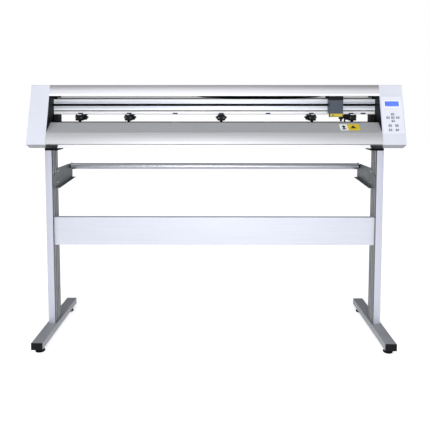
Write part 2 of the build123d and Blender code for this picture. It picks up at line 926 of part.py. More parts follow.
with BuildPart() as belt:
    with BuildSketch(Plane.XY.offset(belt_z - belt_height / 2)):
        with Locations((0, pulley_y)):
            SlotCenterToCenter(2 * pulley_x, 2 * (belt_inner + belt_thick))
            SlotCenterToCenter(2 * pulley_x, 2 * belt_inner, mode=Mode.SUBTRACT)
    extrude(amount=belt_height)
finish(belt, "drive_belt")

# ---- carriage: carrier, cover, tool slide, holder, blade, knob ----
carrier_front_y = -carriage_gap - carrier_thick
with BuildPart() as carrier:
    width = (carriage_x - carriage_half + 2 * cover_wall, carriage_x + carriage_half - 2 * cover_wall)
    slab(width, (carrier_front_y, -carriage_gap), (carrier_low_z, beam_top_z + carriage_gap))
    slab(
        width,
        (carrier_front_y, hook_reach),
        (beam_top_z + carriage_gap, beam_top_z + carriage_gap + hook_thick),
    )
    slab(
        width,
        (-carriage_gap, groove_deep - carriage_gap),
        (groove_low_z + carriage_gap, groove_high_z - carriage_gap),
    )
    slab(
        width,
        (-carriage_gap, pulley_y - belt_inner - belt_thick - carriage_gap),
        (slot_low_z + carriage_gap, slot_high_z - carriage_gap),
    )
finish(carrier, "carriage_plate")

cover_outline = (
    (carrier_front_y, cover_step_z),
    (cover_step_y, cover_step_z),
    (cover_step_y, cover_low_z),
    (cover_front_y, cover_low_z),
    (cover_front_y, cover_top_z),
    (carrier_front_y, cover_top_z),
)
tool_room = tool_block / 2 + carriage_gap
with BuildPart() as cover:
    side_profile(cover_outline, carriage_x - carriage_half, carriage_x + carriage_half)
    slab(
        (carriage_x - carriage_half + cover_wall, carriage_x + carriage_half - cover_wall),
        (cover_front_y + cover_wall, cover_step_y - cover_wall),
        (cover_low_z, cover_step_z + cover_wall),
        mode=Mode.SUBTRACT,
    )
    slab(
        (carriage_x - carriage_half + cover_wall, carriage_x + carriage_half - cover_wall),
        (cover_front_y + cover_wall, carrier_front_y),
        (cover_step_z + cover_wall, cover_top_z - cover_wall),
        mode=Mode.SUBTRACT,
    )
    slab(
        (tool_x - tool_room, carriage_x + carriage_half),
        (cover_front_y + cover_wall, cover_step_y),
        (cover_low_z, holder_high_z + tool_lift),
        mode=Mode.SUBTRACT,
    )
finish(cover, "carriage_cover")

with BuildPart() as tool_slide:
    block_y = (tool_y - tool_block / 2, tool_y + tool_block / 2 - carriage_gap)
    slab(
        (tool_x - tool_block / 2, tool_x + tool_block / 2),
        block_y,
        (tool_block_low_z, tool_block_high_z),
    )
    slab(
        (tool_x - tool_block / 2 - tool_stem_wide, tool_x - tool_block / 2),
        (cover_front_y + cover_wall + tool_stem_gap, cover_step_y - cover_wall - tool_stem_gap),
        ((tool_block_low_z + tool_block_high_z) / 2, tool_stem_high_z),
    )
    round_bar(
        "z",
        tool_block_low_z,
        tool_block_high_z,
        (tool_x, tool_y),
        holder_radius,
        mode=Mode.SUBTRACT,
    )
    round_bar(
        "x",
        tool_x,
        tool_x + tool_block / 2,
        (tool_y, (tool_block_low_z + tool_block_high_z) / 2),
        knob_screw + knob_screw_gap,
        mode=Mode.SUBTRACT,
    )
finish(tool_slide, "tool_slide")

with BuildPart() as holder:
    round_bar("z", holder_low_z, holder_high_z, (tool_x, tool_y), holder_radius)
    round_bar(
        "z",
        tool_block_high_z,
        tool_block_high_z + holder_cap_high,
        (tool_x, tool_y),
        holder_cap,
    )
    round_bar(
        "z", holder_low_z, holder_high_z, (tool_x, tool_y), blade_radius, mode=Mode.SUBTRACT
    )
    chamfer(edges().filter_by(GeomType.CIRCLE).group_by(Axis.Z)[0].sort_by(SortBy.RADIUS)[-1], 2.0)
finish(holder, "blade_holder")

with BuildPart() as blade:
    round_bar("z", holder_low_z, holder_high_z, (tool_x, tool_y), blade_radius)
    with Locations((tool_x, tool_y, holder_low_z - blade_out / 2)):
        Cone(blade_radius / 4, blade_radius, blade_out)
finish(blade, "blade")

with BuildPart() as knob:
    knob_z = (tool_block_low_z + tool_block_high_z) / 2
    knob_start = tool_x + tool_block / 2 + knob_neck
    round_bar("x", knob_start, knob_start + knob_long, (tool_y, knob_z), knob_radius)
    chamfer(edges().filter_by(GeomType.CIRCLE), knob_neck / 2)
    round_bar("x", tool_x + holder_radius + knob_neck, knob_start, (tool_y, knob_z), knob_screw)
finish(knob, "clamp_knob")

# ---- ribbon cable, hung from the top cover ----
with BuildPart() as ribbon:
    ribbon_rear_y = ribbon_y + ribbon_wide
    slab((ribbon_start_x, ribbon_end_x), (ribbon_y, ribbon_rear_y), (ribbon_z, ribbon_z + ribbon_thick))
    slab(
        (ribbon_start_x, ribbon_start_x + ribbon_post),
        (ribbon_y, ribbon_rear_y),
        (ribbon_z, head_top_z - sheet),
    )
finish(ribbon, "ribbon_cable")

# ---- control panel: overlay, display window, keys ----
panel_low_x = opening_half + overlay_margin
panel_high_x = opening_half + right_cap_width - overlay_margin
with BuildPart() as overlay:
    with BuildSketch(on_slope((panel_low_x + panel_high_x) / 2, (overlay_low + overlay_high) / 2)):
        RectangleRounded(panel_high_x - panel_low_x, overlay_high - overlay_low, overlay_margin)
    extrude(amount=overlay_thick)
    with BuildSketch(on_slope(key_column, window_up)):
        Rectangle(window_wide, window_tall)
    extrude(amount=overlay_thick, mode=Mode.SUBTRACT)
    for x, up in key_places.values():
        with BuildSketch(on_slope(x, up)):
            Rectangle(key_wide + 2 * key_gap, key_tall + 2 * key_gap)
        extrude(amount=overlay_thick, mode=Mode.SUBTRACT)
finish(overlay, "control_panel")

with BuildPart() as window:
    with BuildSketch(on_slope(key_column, window_up)):
        Rectangle(window_wide, window_tall)
    extrude(amount=overlay_thick)
finish(window, "display_window")


def build_key(x, up, label):
    """A key cap through the panel, with a flange that stops it behind the shell."""
    face = on_slope(x, up)
    with BuildPart() as key:
        with BuildSketch(face.offset(overlay_thick + key_proud)):
            RectangleRounded(key_wide, key_tall, key_round)
        extrude(amount=-(overlay_thick + key_proud + cap_wall + key_gap))
        top_face = faces().sort_by(Axis(face.origin, face.z_dir))[-1]
        fillet(top_face.edges(), key_proud / 3)
        with BuildSketch(face.offset(-cap_wall - key_gap)):
            Rectangle(key_wide + 2 * key_flange, key_tall + 2 * key_flange)
        extrude(amount=-key_flange_thick)
    finish(key, label)


for label, (x, up) in key_places.items():
    build_key(x, up, label)

# ---- electrics: inlet module, rocker, circuit board ----
rocker_x = inlet_x + rocker_off
socket_x = inlet_x + socket_off
inlet_face_y = head_rear_y + inlet_flange
with BuildPart() as inlet:
    slab(
        (inlet_x - inlet_wide / 2, inlet_x + inlet_wide / 2),
        (head_rear_y, inlet_face_y),
        (inlet_z - inlet_tall / 2, inlet_z + inlet_tall / 2),
    )
    slab(
        (inlet_x - inlet_wide / 2 + inlet_lip, inlet_x + inlet_wide / 2 - inlet_lip),
        (head_rear_y - inlet_deep, head_rear_y),
        (inlet_z - inlet_tall / 2 + inlet_lip, inlet_z + inlet_tall / 2 - inlet_lip),
    )
    slab(
        (socket_x - socket_wide / 2, socket_x + socket_wide / 2),
        (inlet_face_y - socket_deep, inlet_face_y),
        (inlet_z - socket_tall / 2, inlet_z + socket_tall / 2),
        mode=Mode.SUBTRACT,
    )
    for step in (-1, 0, 1):
        pin_x = socket_x + step * pin_pitch
        slab(
            (pin_x - pin_wide / 2, pin_x + pin_wide / 2),
            (inlet_face_y - socket_deep, inlet_face_y - pin_recess),
            (inlet_z - pin_tall / 2, inlet_z + pin_tall / 2),
        )
    slab(
        (rocker_x - rocker_wide / 2 - rocker_gap, rocker_x + rocker_wide / 2 + rocker_gap),
        (inlet_face_y - socket_deep, inlet_face_y),
        (inlet_z - rocker_tall / 2 - rocker_gap, inlet_z + rocker_tall / 2 + rocker_gap),
        mode=Mode.SUBTRACT,
    )
    round_bar(
        "x",
        rocker_x - rocker_wide / 2 - rocker_gap - rocker_axle,
        rocker_x + rocker_wide / 2 + rocker_gap + rocker_axle,
        (head_rear_y - rocker_proud, inlet_z),
        rocker_axle + journal_fit,
        mode=Mode.SUBTRACT,
    )
finish(inlet, "power_inlet")

with BuildPart() as rocker:
    round_bar(
        "x",
        rocker_x - rocker_wide / 2,
        rocker_x + rocker_wide / 2,
        (head_rear_y - rocker_proud, inlet_z),
        rocker_tall / 2,
    )
    slab(
        (rocker_x - rocker_wide / 2, rocker_x + rocker_wide / 2),
        (head_rear_y - rocker_proud - rocker_back, head_rear_y - 2 * rocker_proud),
        (inlet_z - rocker_back, inlet_z + rocker_back),
        mode=Mode.SUBTRACT,
    )
    round_bar(
        "x",
        rocker_x - rocker_wide / 2 - rocker_gap - rocker_axle / 2,
        rocker_x + rocker_wide / 2 + rocker_gap + rocker_axle / 2,
        (head_rear_y - rocker_proud, inlet_z),
        rocker_axle,
    )
finish(rocker, "power_switch")

board_face_x = opening_half + right_cap_width - cap_wall - board_stand_off
with BuildPart() as board:
    slab((board_face_x - board_thick, board_face_x), board_y, board_z)
    board_mid = (board_face_x, sum(board_y) / 2, sum(board_z) / 2)
    post_pitch_y = board_y[1] - board_y[0] - 4 * board_post
    post_pitch_z = board_z[1] - board_z[0] - 4 * board_post
    for y_side in (-1, 1):
        for z_side in (-1, 1):
            round_bar(
                "x",
                board_face_x,
                board_face_x + board_stand_off,
                (board_mid[1] + y_side * post_pitch_y / 2, board_mid[2] + z_side * post_pitch_z / 2),
                board_post,
            )
    for row in (-1, 1):
        slab(
            (board_face_x - board_thick - chip_thick, board_face_x - board_thick),
            (board_mid[1] - chip / 2, board_mid[1] + chip / 2),
            (board_mid[2] + row * chip - chip / 3, board_mid[2] + row * chip + chip / 3),
        )
finish(board, "circuit_board")
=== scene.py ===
# %% [markdown]
# # A roll vinyl cutter on its stand
# A long head carries a sliding blade along a white beam, and a two-column stand holds it at working height.
# The engineering model is loaded first and stays fixed. Every later piece rides on one of its moving bodies.
# Each step says what the real thing is, how it could be made, and why it is made this way.

# %% Load the fixed frame
import bpy, bmesh, json, math
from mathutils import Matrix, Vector

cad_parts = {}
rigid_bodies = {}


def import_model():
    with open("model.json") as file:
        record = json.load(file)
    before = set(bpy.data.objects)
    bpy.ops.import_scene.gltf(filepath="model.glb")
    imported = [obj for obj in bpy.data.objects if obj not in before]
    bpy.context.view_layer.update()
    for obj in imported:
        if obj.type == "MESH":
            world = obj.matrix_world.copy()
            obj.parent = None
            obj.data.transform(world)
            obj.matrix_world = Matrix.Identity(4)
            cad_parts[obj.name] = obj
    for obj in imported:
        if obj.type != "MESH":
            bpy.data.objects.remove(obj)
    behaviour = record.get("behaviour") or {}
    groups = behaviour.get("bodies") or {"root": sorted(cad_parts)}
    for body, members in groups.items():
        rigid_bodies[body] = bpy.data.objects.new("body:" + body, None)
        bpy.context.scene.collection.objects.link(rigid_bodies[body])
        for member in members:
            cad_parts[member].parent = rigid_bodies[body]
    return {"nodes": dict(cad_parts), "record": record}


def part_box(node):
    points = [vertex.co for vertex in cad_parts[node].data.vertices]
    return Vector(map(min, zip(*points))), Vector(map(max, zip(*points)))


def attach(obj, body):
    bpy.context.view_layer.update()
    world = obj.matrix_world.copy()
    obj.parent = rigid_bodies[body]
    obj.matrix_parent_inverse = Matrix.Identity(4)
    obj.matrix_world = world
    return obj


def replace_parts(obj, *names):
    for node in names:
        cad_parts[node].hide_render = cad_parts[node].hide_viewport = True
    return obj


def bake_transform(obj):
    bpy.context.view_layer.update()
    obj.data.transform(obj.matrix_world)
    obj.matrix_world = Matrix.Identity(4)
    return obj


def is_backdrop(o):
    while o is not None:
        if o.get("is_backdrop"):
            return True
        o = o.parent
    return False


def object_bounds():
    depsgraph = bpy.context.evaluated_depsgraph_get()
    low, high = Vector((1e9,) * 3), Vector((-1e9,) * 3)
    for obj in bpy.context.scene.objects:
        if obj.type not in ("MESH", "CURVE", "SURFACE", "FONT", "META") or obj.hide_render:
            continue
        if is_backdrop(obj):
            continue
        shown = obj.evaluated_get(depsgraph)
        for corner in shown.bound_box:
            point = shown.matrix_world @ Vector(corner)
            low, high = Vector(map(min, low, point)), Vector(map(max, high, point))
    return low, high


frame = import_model()
nodes = frame["nodes"]
cad_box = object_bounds()
MM = 0.001
RIGHT, BACK, UP = Vector((1, 0, 0)), Vector((0, 1, 0)), Vector((0, 0, 1))
base_low, base_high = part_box("base_channel")
middle_x = (base_low.x + base_high.x) / 2
half_opening = (base_high.x - base_low.x) / 2
print("opening", round(2 * half_opening, 4), "middle at", round(middle_x, 4))

# %% [markdown]
# ## Camera
# The viewer stands in front of the machine, a little above the head, and the whole stand is in view. A long lens
# with a downward shift keeps the columns upright, as a catalogue view does. No depth of field is used.

# %% Place the camera
camera = bpy.data.objects.new("viewpoint", bpy.data.cameras.new("viewpoint"))
bpy.context.scene.collection.objects.link(camera)
camera.location = (0.0213 + middle_x, -2.461, 1.024)
camera.rotation_euler = (math.pi / 2 - 0.075, 0, 0.007)
camera.data.lens = 45.83
camera.data.sensor_width = 36
camera.data.shift_y = -0.155
bpy.context.scene.camera = camera
print("camera", [round(v, 3) for v in camera.location])

# %% [markdown]
# ## Studio
# A plain pale floor that runs far back and glows a little, a white surround, two soft lamps in front (one high, one
# low) and a very wide, weak sun. They give the metal faces smooth gradients and the feet a soft contact shadow. The
# surround is whiter to the eye than to the machine, so that side faces stay darker.

# %% Floor, surround and lamps
def linear(r, g, b):
    """A colour given as 0-255 screen values, as the renderer's linear values."""
    def one(v):
        v = v / 255
        return v / 12.92 if v <= 0.04045 else ((v + 0.055) / 1.055) ** 2.4
    return (one(r), one(g), one(b), 1.0)

floor_mesh = bpy.data.meshes.new("studio_floor")
floor_mesh.from_pydata([(-9, -6, 0), (9, -6, 0), (9, 12, 0), (-9, 12, 0)], [], [(0, 1, 2, 3)])
floor = bpy.data.objects.new("studio_floor", floor_mesh)
bpy.context.scene.collection.objects.link(floor)
floor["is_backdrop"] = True

world = bpy.data.worlds.new("studio")
bpy.context.scene.world = world
world.use_nodes = True
wn, wl = world.node_tree.nodes, world.node_tree.links
seen = wn.new("ShaderNodeBackground")
seen.inputs["Color"].default_value = (1, 1, 1, 1)
seen.inputs["Strength"].default_value = 1.0
cast = wn["Background"]
cast.inputs["Color"].default_value = (0.93, 0.95, 1.0, 1)
cast.inputs["Strength"].default_value = 0.20
path, blend_world = wn.new("ShaderNodeLightPath"), wn.new("ShaderNodeMixShader")
wl.new(path.outputs["Is Camera Ray"], blend_world.inputs[0])
wl.new(cast.outputs[0], blend_world.inputs[1])
wl.new(seen.outputs[0], blend_world.inputs[2])
wl.new(blend_world.outputs[0], wn["World Output"].inputs["Surface"])

def lamp(name, place, aim, size, power, tint=(1, 1, 1)):
    data = bpy.data.lights.new(name, "AREA")
    data.shape, data.size, data.size_y, data.energy, data.color = "RECTANGLE", size[0], size[1], power, tint
    obj = bpy.data.objects.new(name, data)
    obj.location = place
    obj.rotation_euler = (Vector(aim) - Vector(place)).to_track_quat("-Z", "Y").to_euler()
    bpy.context.scene.collection.objects.link(obj)
    return obj

lamp("front_high", (-0.3, -4.4, 2.3), (0, 0, 0.8), (1.4, 1.6), 54)
lamp("front_low", (0.2, -4.2, 0.8), (0, 0, 0.9), (1.4, 0.8), 30)
sky = bpy.data.objects.new("soft_sky", bpy.data.lights.new("soft_sky", "SUN"))
sky.data.energy, sky.data.angle = 1.15, math.radians(60)
sky.rotation_euler = Vector((0.15, 0.55, -1.0)).to_track_quat("-Z", "Y").to_euler()
bpy.context.scene.collection.objects.link(sky)
bpy.context.scene.view_settings.view_transform = "Standard"

# %% [markdown]
# ## Finishes
# Every finish is a small node tree on the piece's own coordinates: noise stretched along the direction in which the
# metal was drawn or brushed, a finer noise for the skin of moulded plastic, and slow, faint variation in tone and
# gloss so that large faces aren't dead flat. Numbers that are the same all over sit on the shader itself.

# %% Helpers for node materials
def material(name, colour, roughness, metallic=0.0, coat=0.0, specular=0.5):
    made = bpy.data.materials.new(name)
    made.use_nodes = True
    shader = made.node_tree.nodes["Principled BSDF"]
    shader.inputs["Base Color"].default_value = colour
    shader.inputs["Roughness"].default_value = roughness
    shader.inputs["Metallic"].default_value = metallic
    shader.inputs["Coat Weight"].default_value = coat
    shader.inputs["Specular IOR Level"].default_value = specular
    made.diffuse_color = colour
    return made


def own_coordinates(made, stretch):
    """Object coordinates through a Mapping node that stretches the pattern along the axes."""
    tree = made.node_tree
    where, mapping = tree.nodes.new("ShaderNodeTexCoord"), tree.nodes.new("ShaderNodeMapping")
    mapping.inputs["Scale"].default_value = stretch
    tree.links.new(where.outputs["Object"], mapping.inputs["Vector"])
    return mapping.outputs["Vector"]


def noise(made, stretch, detail=3.0, rough=0.6):
    tree = made.node_tree
    texture = tree.nodes.new("ShaderNodeTexNoise")
    texture.inputs["Scale"].default_value = 1.0
    texture.inputs["Detail"].default_value = detail
    texture.inputs["Roughness"].default_value = rough
    tree.links.new(own_coordinates(made, stretch), texture.inputs["Vector"])
    return texture.outputs["Fac"]


def tone(made, factor, dark, light, low=0.35, high=0.65):
    """Colour runs between two tones with the factor."""
    tree = made.node_tree
    ramp = tree.nodes.new("ShaderNodeValToRGB")
    ramp.color_ramp.elements[0].position, ramp.color_ramp.elements[1].position = low, high
    ramp.color_ramp.elements[0].color, ramp.color_ramp.elements[1].color = dark, light
    tree.links.new(factor, ramp.inputs["Fac"])
    tree.links.new(ramp.outputs["Color"], tree.nodes["Principled BSDF"].inputs["Base Color"])
    return ramp


def gloss(made, factor, smooth, rough):
    """Roughness runs between two values with the factor."""
    tree = made.node_tree
    spread = tree.nodes.new("ShaderNodeMapRange")
    spread.inputs["From Min"].default_value, spread.inputs["From Max"].default_value = 0.3, 0.7
    spread.inputs["To Min"].default_value, spread.inputs["To Max"].default_value = smooth, rough
    tree.links.new(factor, spread.inputs["Value"])
    tree.links.new(spread.outputs["Result"], tree.nodes["Principled BSDF"].inputs["Roughness"])


def relief(made, factor, strength, depth):
    tree = made.node_tree
    bump = tree.nodes.new("ShaderNodeBump")
    bump.inputs["Strength"].default_value = strength
    bump.inputs["Distance"].default_value = depth
    tree.links.new(factor, bump.inputs["Height"])
    tree.links.new(bump.outputs["Normal"], tree.nodes["Principled BSDF"].inputs["Normal"])


def shade(colour, factor):
    return (colour[0] * factor, colour[1] * factor, colour[2] * factor, 1.0)


# %% [markdown]
# ### Drawn and brushed metal
# Extrusions carry faint lines along the way they were drawn. A noise that is long along that axis and very short
# across it gives them, in tone, gloss and relief together. The same helper serves the columns (up and down), the
# crossbar, beam, covers and platen (left to right) and the foot bars (front to back).

# %% Drawn metal
def drawn_metal(name, colour, axis, roughness=0.38, metallic=0.75, lines=900.0, contrast=0.07, strength=0.12):
    made = material(name, colour, roughness, metallic)
    stretch = [lines, lines, lines]
    stretch["xyz".index(axis)] = lines / 220
    fine = noise(made, stretch, detail=4.0)
    tone(made, fine, shade(colour, 1 - contrast), shade(colour, 1 + contrast * 0.4))
    gloss(made, noise(made, [s / 6 for s in stretch], detail=2.0), roughness - 0.05, roughness + 0.08)
    relief(made, fine, strength, 0.0002)
    return made


finish = {
    "column_silver": drawn_metal("anodised_column", linear(196, 198, 212), "z", 0.42, 0.35),
    "crossbar_silver": drawn_metal("anodised_crossbar", linear(209, 212, 223), "x", 0.36, 0.30),
    "cover_silver": drawn_metal("anodised_cover", linear(214, 215, 222), "x", 0.40, 0.55),
    "beam_white": drawn_metal("bright_beam", linear(251, 252, 255), "x", 0.42, 0.15, contrast=0.03),
    "platen_grey": drawn_metal("matt_platen", linear(186, 188, 191), "x", 0.50, 0.35),
    "steel": drawn_metal("ground_steel", linear(186, 187, 192), "x", 0.26, 1.0),
    "chrome_tube": drawn_metal("polished_tube", linear(182, 183, 190), "x", 0.30, 0.95, contrast=0.0,
                               strength=0.0),
    "dark_steel": drawn_metal("blackened_steel", linear(92, 94, 100), "x", 0.38, 0.9),
    # Painted shade: pale blue-grey bands laid beside the beam's slot.
    "rail_steel": drawn_metal("beam_band_painted_shade", linear(206, 214, 226), "x", 0.34, 0.30, contrast=0.03),
    "brass": drawn_metal("turned_brass", linear(205, 168, 92), "z", 0.28, 1.0),
}

def painted_height_shade(name, colour, low_z, high_z, low_shade, high_shade, roughness=0.42, metallic=0.35):
    """Drawn metal whose tone runs slowly with height: a painted gradient of light and shade."""
    made = drawn_metal(name, colour, "x", roughness, metallic)
    tree = made.node_tree
    where, split = tree.nodes.new("ShaderNodeTexCoord"), tree.nodes.new("ShaderNodeSeparateXYZ")
    tree.links.new(where.outputs["Object"], split.inputs["Vector"])
    run = tree.nodes.new("ShaderNodeMapRange")
    run.interpolation_type = "SMOOTHSTEP"
    run.inputs["From Min"].default_value, run.inputs["From Max"].default_value = low_z, high_z
    run.inputs["To Min"].default_value, run.inputs["To Max"].default_value = low_shade, high_shade
    tree.links.new(split.outputs["Z"], run.inputs["Value"])
    times = tree.nodes.new("ShaderNodeVectorMath")
    times.operation = "SCALE"
    shader = tree.nodes["Principled BSDF"]
    tree.links.new(shader.inputs["Base Color"].links[0].from_socket, times.inputs[0])
    tree.links.new(run.outputs["Result"], times.inputs["Scale"])
    tree.links.new(times.outputs["Vector"], shader.inputs["Base Color"])
    return made


# Painted shade: a darker copy of the column metal, for the columns' side faces.
finish["column_side"] = drawn_metal("column_side_painted_shade", linear(74, 77, 69), "z", 0.42, 0.20)
# The top and front covers take painted shade: their tone darkens towards the top edge.
top_low, top_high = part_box("top_cover")
front_low, front_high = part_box("front_cover")
finish["top_silver"] = painted_height_shade("anodised_top_painted_shade", linear(236, 235, 242), top_low.z + 0.015, top_high.z - 0.002,
                              0.86, 0.34)
finish["front_silver"] = painted_height_shade("anodised_front_painted_shade", linear(246, 247, 252), front_low.z + 0.019,
                                front_high.z - 0.0015,
                                0.68, 0.43)
print("metals", sorted(finish))

# %% [markdown]
# ### Paint, moulded plastic and rubber
# Powder paint has a faint orange-peel skin, moulded plastic a fine even grain, and rubber a dusty, dull surface with
# slightly lighter patches. All three are the same idea at different scales: one noise for relief, a much larger one
# for tone and gloss.

# %% Painted, moulded and rubber finishes
def skin(name, colour, roughness, grain, depth, contrast=0.06, coat=0.0, patches=14.0, strength=0.25,
         specular=0.5):
    made = material(name, colour, roughness, 0.0, coat, specular)
    slow = noise(made, (patches, patches, patches), detail=3.0)
    tone(made, slow, shade(colour, 1 - contrast), shade(colour, 1 + contrast * 0.5))
    gloss(made, slow, roughness - 0.05, roughness + 0.07)
    relief(made, noise(made, (grain, grain, grain), detail=2.0), strength, depth)
    return made


finish.update({
    "cap_paint": skin("pale_powder_paint", linear(214, 218, 230), 0.42, 420, 0.0003, contrast=0.03, patches=5),
    "foot_grey": skin("grey_powder_paint", linear(150, 152, 158), 0.48, 500, 0.0003, contrast=0.06),
    "black_metal": skin("black_powder_paint", linear(18, 19, 21), 0.55, 520, 0.0003, contrast=0.25,
                        specular=0.16),
    "black_plastic": skin("black_moulding", linear(12, 12, 14), 0.50, 900, 0.0002, contrast=0.25, patches=40,
                          specular=0.16),
    "rubber": skin("dull_rubber", linear(20, 20, 21), 0.82, 700, 0.0003, contrast=0.35, patches=30,
                   specular=0.14),
    "carriage_grey": skin("slate_moulding", linear(56, 67, 81), 0.44, 850, 0.0002, contrast=0.08, patches=25),
    "bed_top_dark": skin("dark_bed_top", linear(58, 59, 61), 0.95, 300, 0.0003, contrast=0.2, patches=12,
                     specular=0.0),
    # painted shade for the downward faces of the end caps
    "cap_shade": skin("cap_underside_painted_shade", linear(132, 134, 140), 0.46, 420, 0.0003, contrast=0.03, patches=5),
    "bracket_grey": skin("bracket_powder_paint", linear(94, 99, 101), 0.50, 520, 0.0003, contrast=0.05),
    "key_grey": skin("grey_key_moulding", linear(128, 132, 146), 0.45, 900, 0.0002, contrast=0.08, patches=60),
    "panel_film": skin("printed_panel_film", linear(226, 228, 240), 0.34, 600, 0.0001, contrast=0.02,
                       coat=0.25),
    "board_green": skin("circuit_board_lacquer", linear(24, 96, 48), 0.35, 300, 0.0003, contrast=0.30,
                        patches=90),
    "switch_red": skin("red_moulding", linear(176, 24, 22), 0.34, 700, 0.0001, contrast=0.10, coat=0.2),
    "display_blue": material("lit_display", linear(62, 92, 232), 0.12, coat=0.6),
})
glow = finish["display_blue"].node_tree.nodes["Principled BSDF"]
glow.inputs["Emission Color"].default_value = linear(84, 128, 246)
glow.inputs["Emission Strength"].default_value = 0.55
tone(finish["display_blue"], noise(finish["display_blue"], (30, 30, 30)), linear(56, 84, 224),
     linear(72, 104, 240))
ink = {
    "navy": skin("navy_print", linear(8, 22, 84), 0.40, 500, 0.0001, contrast=0.15),
    "yellow": skin("yellow_print", linear(228, 202, 34), 0.40, 500, 0.0001, contrast=0.05),
    "band_yellow": skin("yellow_band", linear(192, 176, 30), 0.40, 500, 0.0001, contrast=0.05),
    "white": skin("white_print", linear(246, 247, 250), 0.45, 500, 0.0001, contrast=0.02),
    "dark": skin("dark_print", linear(38, 40, 48), 0.45, 500, 0.0001, contrast=0.10),
    "lit": skin("lit_bars", linear(112, 138, 250), 0.30, 500, 0.0001, contrast=0.03),
    "gap": skin("shadow_gap", linear(58, 60, 66), 0.70, 500, 0.0001, contrast=0.10),
}
finish["floor"] = skin("studio_paper", linear(246, 246, 247), 0.90, 90, 0.0004, contrast=0.012, patches=0.8,
                       strength=0.05)
paper = finish["floor"].node_tree.nodes["Principled BSDF"]
paper.inputs["Emission Color"].default_value = (1, 1, 1, 1)
paper.inputs["Emission Strength"].default_value = 0.6
floor.data.materials.append(finish["floor"])
print("finishes", len(finish) + len(ink))

# %% [markdown]
# ## Dress every engineering node
# Each node of the engineering model takes the finish that the record names for it. Nodes that get a softened or more
# detailed piece below are replaced later and aren't shown.

# %% Give each node its finish
slot_names = {part["node"]: part["material_slot"] for part in frame["record"]["subparts"]}
for name, node in nodes.items():
    for slot in node.material_slots:
        slot.material = finish[slot_names[name]]
body_names = {n: b for b, ns in frame["record"]["behaviour"]["bodies"].items() for n in ns}
print("dressed", len(slot_names), "nodes")

# %% [markdown]
# ## Tools for making pieces
# Four small tools do most of the work: one softens a copy of an engineering solid, one lays a thin plate on a face,
# one turns a profile about an axis, and one runs a Geometry Nodes tree and keeps its plain mesh.

# %% Put a mesh in the scene, and keep a modifier's result
def place(name, mesh, finishes, body, slot=None, bevel=0.0, segments=2, angle=30):
    obj = bpy.data.objects.new(name, mesh)
    bpy.context.scene.collection.objects.link(obj)
    for f in finishes if isinstance(finishes, (list, tuple)) else [finishes]:
        if f.name not in mesh.materials:
            mesh.materials.append(f)
    mesh.polygons.foreach_set("use_smooth", [True] * len(mesh.polygons))
    mesh.set_sharp_from_angle(angle=math.radians(angle))
    if bevel:
        edge = obj.modifiers.new("edge", "BEVEL")
        edge.width, edge.segments, edge.limit_method = bevel, segments, "ANGLE"
        edge.angle_limit, edge.harden_normals = math.radians(angle), True
        keep_result(obj)
    if body:
        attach(obj, body)
    return obj


def keep_result(obj):
    """Replace the object's mesh with its modified mesh, and drop the modifiers."""
    bpy.context.view_layer.update()
    result = bpy.data.meshes.new_from_object(obj.evaluated_get(bpy.context.evaluated_depsgraph_get()))
    result.name = obj.name
    obj.modifiers.clear()
    obj.data = result
    return obj


# %% Soften the edges of an engineering solid
def merged_copy(node):
    """The node's triangles as one welded mesh, with its flat faces joined."""
    bm = bmesh.new()
    bm.from_mesh(nodes[node].data)
    bmesh.ops.remove_doubles(bm, verts=bm.verts, dist=2e-6)
    bmesh.ops.dissolve_limit(bm, angle_limit=math.radians(0.6), verts=bm.verts, edges=bm.edges)
    return bm


def softened(node, width, segments=2, angle=32, finish_name=None, second=None, test=None, bm=None, extra=()):
    """A softened copy. Faces whose normal passes the test take the second finish."""
    bm = bm or merged_copy(node)
    if second:
        bm.normal_update()
        for f in bm.faces:
            f.material_index = 1 if test(f.normal) else 0
        extra = [finish[second]]
    mesh = bpy.data.meshes.new(node + "_soft")
    bm.to_mesh(mesh)
    bm.free()
    main = finish[finish_name or slot_names[node]]
    obj = place(node + "_soft", mesh, [main, *extra], body_names[node], slot_names[node], width, segments,
                angle)
    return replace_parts(obj, node)


# %% Lay a plate on a face, and turn a profile
def solid(name, bm, finishes, body, slot=None, bevel=0.0):
    """Turn the faces outwards and put the mesh in the scene."""
    bmesh.ops.recalc_face_normals(bm, faces=bm.faces)
    mesh = bpy.data.meshes.new(name)
    bm.to_mesh(mesh)
    bm.free()
    return place(name, mesh, finishes, body, slot, bevel)


def plate(name, outline, origin, along, up, thick, finishes, body, bevel=0.0, slot=None):
    """A flat piece: an outline in two directions from an origin, with a thickness outwards."""
    along, up = Vector(along).normalized(), Vector(up).normalized()
    out = along.cross(up).normalized()
    bm = bmesh.new()
    low = [bm.verts.new(Vector(origin) + along * a + up * u) for a, u in outline]
    high = [bm.verts.new(v.co + out * thick) for v in low]
    bm.faces.new(list(reversed(low)))
    bm.faces.new(high)
    for i in range(len(low)):
        j = (i + 1) % len(low)
        bm.faces.new((low[i], low[j], high[j], high[i]))
    return solid(name, bm, finishes, body, slot, bevel)


def oblong(width, height, radius=0.0, steps=4):
    """A rectangle about its centre, with rounded corners."""
    if radius <= 0:
        x, y = width / 2, height / 2
        return [(-x, -y), (x, -y), (x, y), (-x, y)]
    points = []
    for cx, cy, start in ((1, 1, 0), (-1, 1, 90), (-1, -1, 180), (1, -1, 270)):
        for k in range(steps + 1):
            a = math.radians(start + 90 * k / steps)
            x, y = cx * (width / 2 - radius), cy * (height / 2 - radius)
            points.append((x + radius * math.cos(a), y + radius * math.sin(a)))
    return points


